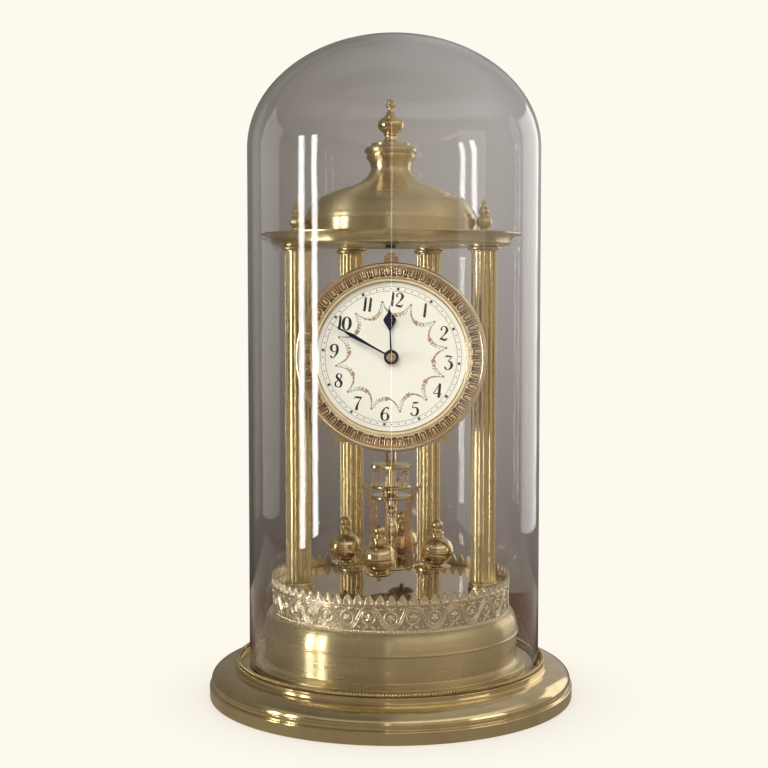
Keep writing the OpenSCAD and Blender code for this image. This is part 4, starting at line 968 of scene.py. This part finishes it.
spindle = revolve([(0, carrier_z + 2), (3, carrier_z + 2), (3.1, w - 7.5), (2.9, w - 6)]
    + spline([(2.2, w - 4.6), (2.6, w - 3.2), (1.9, w - 1.5), (2, w + 1), (2.7, w + 3), (3.9, w + 7), (4.3, w + 11),
    (3.6, w + 14.6), (2.2, w + 17.6), (1.75, w + 19.2)], 5) + rounded([(2.6, w + 19.6, 0.2), (2.6, w + 20.4, 0.3)], 0.1,
    closed=False) + arc((0, w + 23.2), 3.7, 2.7, -45, 45, 10) + [(1.8, w + 26.4), (1.5, crown_z + 1), (1.5, spindle_top),
    (0, spindle_top)], 64)


def frame_at(z, wide, deep, tall, wall):
    """Stirrup: an upright rectangular eye."""
    outer = rounded([(-wide, z), (wide, z), (wide, z + tall), (-wide, z + tall)], 0.8)
    inner = rounded([(-wide + wall, z + 2.02), (wide - wall, z + 2.02), (wide - wall, z + tall - 1.7),
        (-wide + wall, z + tall - 1.7)], 0.4)
    v, f = slab(outer, -deep, deep, inner)
    return v[:, [0, 2, 1]], f


stirrup = moved(frame_at(spindle_top - 0.02, 3, 2, 8.4, 1.1), turn=pendulum_turn)
bevelled(make("pendulum_spindle", [spindle, stirrup], brass_weight, "pendulum"), 0.15, 50)


def knurl(a, r, z):
    return 0.13 * np.cos(72 * a) if r > 11.6 and disc_z + 0.4 < z < disc_z + 2 else np.zeros_like(a)


disc = lift([(1.56, 0), (9, 0, 0.2), (9.4, 0.35, 0.2), (10.2, 0.35, 0.2), (10.5, 0, 0.2), (11.4, 0, 0.2),
    (11.85, 0.5, 0.1), (11.85, 1.9, 0.1), (11.4, 2.4, 0.2), (1.56, 2.4)], disc_z)
turned("regulator_disc", disc, brass_weight, "regulator", seg=72 * 6, relief=knurl, fillet=0.15)


def tube(path, r, n=12):
    """Round wire along a path, with closed ends."""
    pts = [Vector(p) for p in path]
    rings, side = [], None
    for i, p in enumerate(pts):
        d = (pts[min(i + 1, len(pts) - 1)] - pts[max(i - 1, 0)]).normalized()
        side = (side - d * side.dot(d)).normalized() if side else d.orthogonal().normalized()
        up = d.cross(side)
        rings.append([p + side * x + up * y for x, y in circle(r, n)])
    return skin(rings, closed=False)


loops = []
cz = crown_z
for i in range(4):
    legs = [(7.2, 0, cz + 7.5), (7.2, 0, cz + 14.6)] + [(x, 0, z) for x, z in arc((9, cz + 14.7), 1.8, 1.8, 165, 15,
        10)] + [(10.8, 0, cz + 14.6), (10.8, 0, cz + 7.5)]
    loops.append(moved(tube(legs, 0.55), turn=pendulum_turn + i * TAU / 4))
for z in (cz, cz + 6.4):
    loops.append(revolve(rounded([(1.56, z), (11.6, z, 0.5), (12.3, z + 0.7, 0.4), (12.3, z + 1.5, 0.4),
        (11.6, z + 2.2, 0.5), (1.56, z + 2.2)], 0.2), 128))
loops.append(revolve(rounded([(1.56, cz + 2.1), (3.4, cz + 2.1), (2.6, cz + 3.4, 0.8), (2.6, cz + 5.2, 0.8),
    (3.4, cz + 6.5), (1.56, cz + 6.5)], 0.2), 48))
make("loop_crown", loops, brass_weight, "pendulum")

foot_z, top_z = carrier_z + 2.02, crown_z + 10
outer = spline([(15, foot_z), (13.9, foot_z + 7), (12.8, foot_z + 17), (12.6, foot_z + 27), (13.4, top_z - 15.4),
    (15, top_z - 9.6), (17.3, top_z - 4.7), (20.2, top_z)], 5)
inner = spline([(20.2, top_z + 0.02), (18.4, top_z - 1.3), (15.2, top_z - 3.1), (13, top_z - 4.6), (12.36, top_z - 6)],
    4) + spline([(12.36, crown_z - 2), (10.6, foot_z + 38), (8.9, foot_z + 34), (8.2, foot_z + 26), (8.4, foot_z + 16),
    (9, foot_z + 8), (9, foot_z)], 5)
arm, faces = slab(outer + inner, -0.6, 0.6)
arm = arm[:, [0, 2, 1]]
bevelled(make("lyre_arms", [moved((arm, faces), turn=pendulum_turn + i * TAU / 4) for i in range(4)], brass_lyre,
    "pendulum", "lyre_brass"), 0.25)

# ---- finishes of the carried-over nodes

FINISH = (
    (cast_iron_core, "foot_core"), (blued, "roof_bolt"), (brass_lyre, "suspension_top_block"),
    (steel, "tie_rods movement_screws mainspring winding_arbor ratchet_wheel click click_spring intermediate_arbor_1 "
            "intermediate_arbor_2 centre_arbor third_arbor escape_arbor anchor cannon_pinion suspension_spring "
            "suspension_bottom_block"),
    (brass_plate, "movement_bridge back_plate front_plate suspension_bracket"),
    (brass_wheel, "plate_pillars barrel intermediate_wheel_1 intermediate_wheel_2 centre_wheel third_wheel escape_wheel "
                  "minute_wheel hour_wheel suspension_fork"))
for material, nodes in FINISH:
    for node in nodes.split():
        mesh = frame["nodes"][node].data
        mesh.materials.clear()
        mesh.materials.append(material)

# ---- floor, world, lights and camera

def floor():
    """Pale ground with a soft contact shadow; glass and metal see it dimmer, with dark wood behind the clock."""
    g = Graph("pale_floor")
    grain = g.noise(g.stretched(6, 60, 6), 1, 4)
    open_sky = g.node("AmbientOcclusion", {"Distance": 0.07}, samples=6).outputs["AO"]
    shade = g.mix(g.span(open_sky, 0.1, 1, 0, 1), rgb(0.72, 0.64, 0.53), rgb(0.985, 0.95, 0.855))
    pale = g.node("Emission", {"Color": shade, "Strength": 1.0})
    x, y, z = g.split(g.coord())
    table = g.math("MULTIPLY", g.span(y, 0, 0.1, 0, 1), g.span(g.math("ABSOLUTE", x), 0.13, 0.2, 1, 0))
    brown = g.mix(grain, rgb(0.115, 0.048, 0.028), rgb(0.055, 0.022, 0.014))
    wood = g.node("Emission", {"Color": g.mix(table, rgb(0.27, 0.235, 0.19), brown), "Strength": 1.0})
    path = g.node("LightPath")
    material = g.finish(g.node("MixShader", {0: path.outputs["Is Camera Ray"], 1: wood.outputs[0],
        2: pale.outputs[0]}).outputs[0])
    mesh = bpy.data.meshes.new("floor")
    v, f = slab([(-600, -600), (600, -600), (600, 290), (-600, 290)], -1, -0.02)
    mesh.from_pydata((v * MM).tolist(), [], f)
    obj = bpy.data.objects.new("floor", mesh)
    bpy.context.scene.collection.objects.link(obj)
    mesh.materials.append(material)


def world():
    """Cream backdrop for the camera; in glass and metal, a dim warm room with a lighter wall to the right."""
    g = Graph("studio", bpy.data.worlds, "OutputWorld")
    xyz = g.split(g.coord("Generated"))
    behind = g.ramp(xyz[2], -1, 1, [(-1, (0.26, 0.24, 0.21)), (-0.3, (0.23, 0.21, 0.185)), (-0.215, (0.11, 0.09, 0.08)),
        (-0.195, (0.12, 0.098, 0.085)), (-0.1, (0.2, 0.175, 0.155)), (0.02, (0.27, 0.245, 0.225)),
        (0.12, (0.32, 0.3, 0.275)), (1, (0.3, 0.28, 0.26))])
    before = g.ramp(xyz[2], -1, 1, [(-1, (0.12, 0.07, 0.04)), (-0.3, (0.2, 0.13, 0.08)), (-0.06, (0.31, 0.25, 0.18)),
        (0.06, (0.42, 0.36, 0.29)), (0.2, (0.34, 0.28, 0.21)), (0.36, (0.19, 0.15, 0.11)), (0.46, (0.75, 0.73, 0.69)),
        (0.62, (0.7, 0.68, 0.64)), (0.74, (0.26, 0.23, 0.2)), (1, (0.26, 0.24, 0.21))])
    sideways = g.ramp(xyz[0], -1, 1, [(-1, (0.52, 0.51, 0.5)), (-0.1, (0.7, 0.68, 0.66)), (0.1, (1.42, 1.43, 1.5)),
        (1, (1.3, 1.3, 1.34))])
    split = g.ramp(xyz[1], -0.3, 0.3, [(-0.3, (0, 0, 0)), (0.3, (1, 1, 1))])
    walls = g.mix(1, g.mix(split, before, behind), sideways, "MULTIPLY")
    room = g.node("Background", {0: walls})
    pale = g.node("Background", {0: rgb(0.985, 0.95, 0.855)})
    path = g.node("LightPath")
    bpy.context.scene.world = g.finish(g.node("MixShader", {0: path.outputs["Is Camera Ray"], 1: room.outputs[0],
        2: pale.outputs[0]}).outputs[0])


def area(name, az, dist, z, size, power, colour=(1, 0.99, 0.98), target=(0, 0, 0.2), glossy=True, through=True):
    """Rectangular light at an azimuth from the front, counted to the right, facing the object."""
    light = bpy.data.lights.new(name, "AREA")
    light.shape = "RECTANGLE"
    light.size, light.size_y = size
    light.energy = power
    light.color = colour
    obj = bpy.data.objects.new(name, light)
    bpy.context.scene.collection.objects.link(obj)
    a = radians(az)
    obj.location = (dist * sin(a), -dist * cos(a), z)
    obj.rotation_euler = (Vector(target) - obj.location).to_track_quat("-Z", "Y").to_euler()
    obj.visible_glossy, obj.visible_transmission = glossy, through
    return obj


floor()
world()
area("window_near", -62, 1.8, 0.15, (0.14, 0.84), 5.5, target=(0, 0, 0.15))
area("window_far", -74, 1.8, 0.15, (0.16, 0.84), 5.5, target=(0, 0, 0.15))
area("right_front", 60, 1.9, 0.25, (0.8, 0.9), 3, target=(0, 0, 0.25), through=False)
area("right_wall", 132, 1.5, 0.35, (0.9, 1), 2.4, (1, 0.98, 0.97))
area("line", -2.2, 2.4, 0.35, (0.03, 1.6), 0.5)
area("fill", -14, 1.3, 0.9, (0.9, 0.8), 21, (1, 0.99, 0.97), glossy=False, through=False)

camera = bpy.data.cameras.new("camera")
camera.sensor_width = 36
camera.lens = 67.2
camera.clip_start = 0.05
eye = bpy.data.objects.new("camera", camera)
bpy.context.scene.collection.objects.link(eye)
eye.location = (-0.0041, -0.8655, 0.2405)
eye.rotation_euler = (radians(90 - 3.473), 0, 0)
bpy.context.scene.camera = eye
bpy.context.scene.view_settings.view_transform = "Standard"
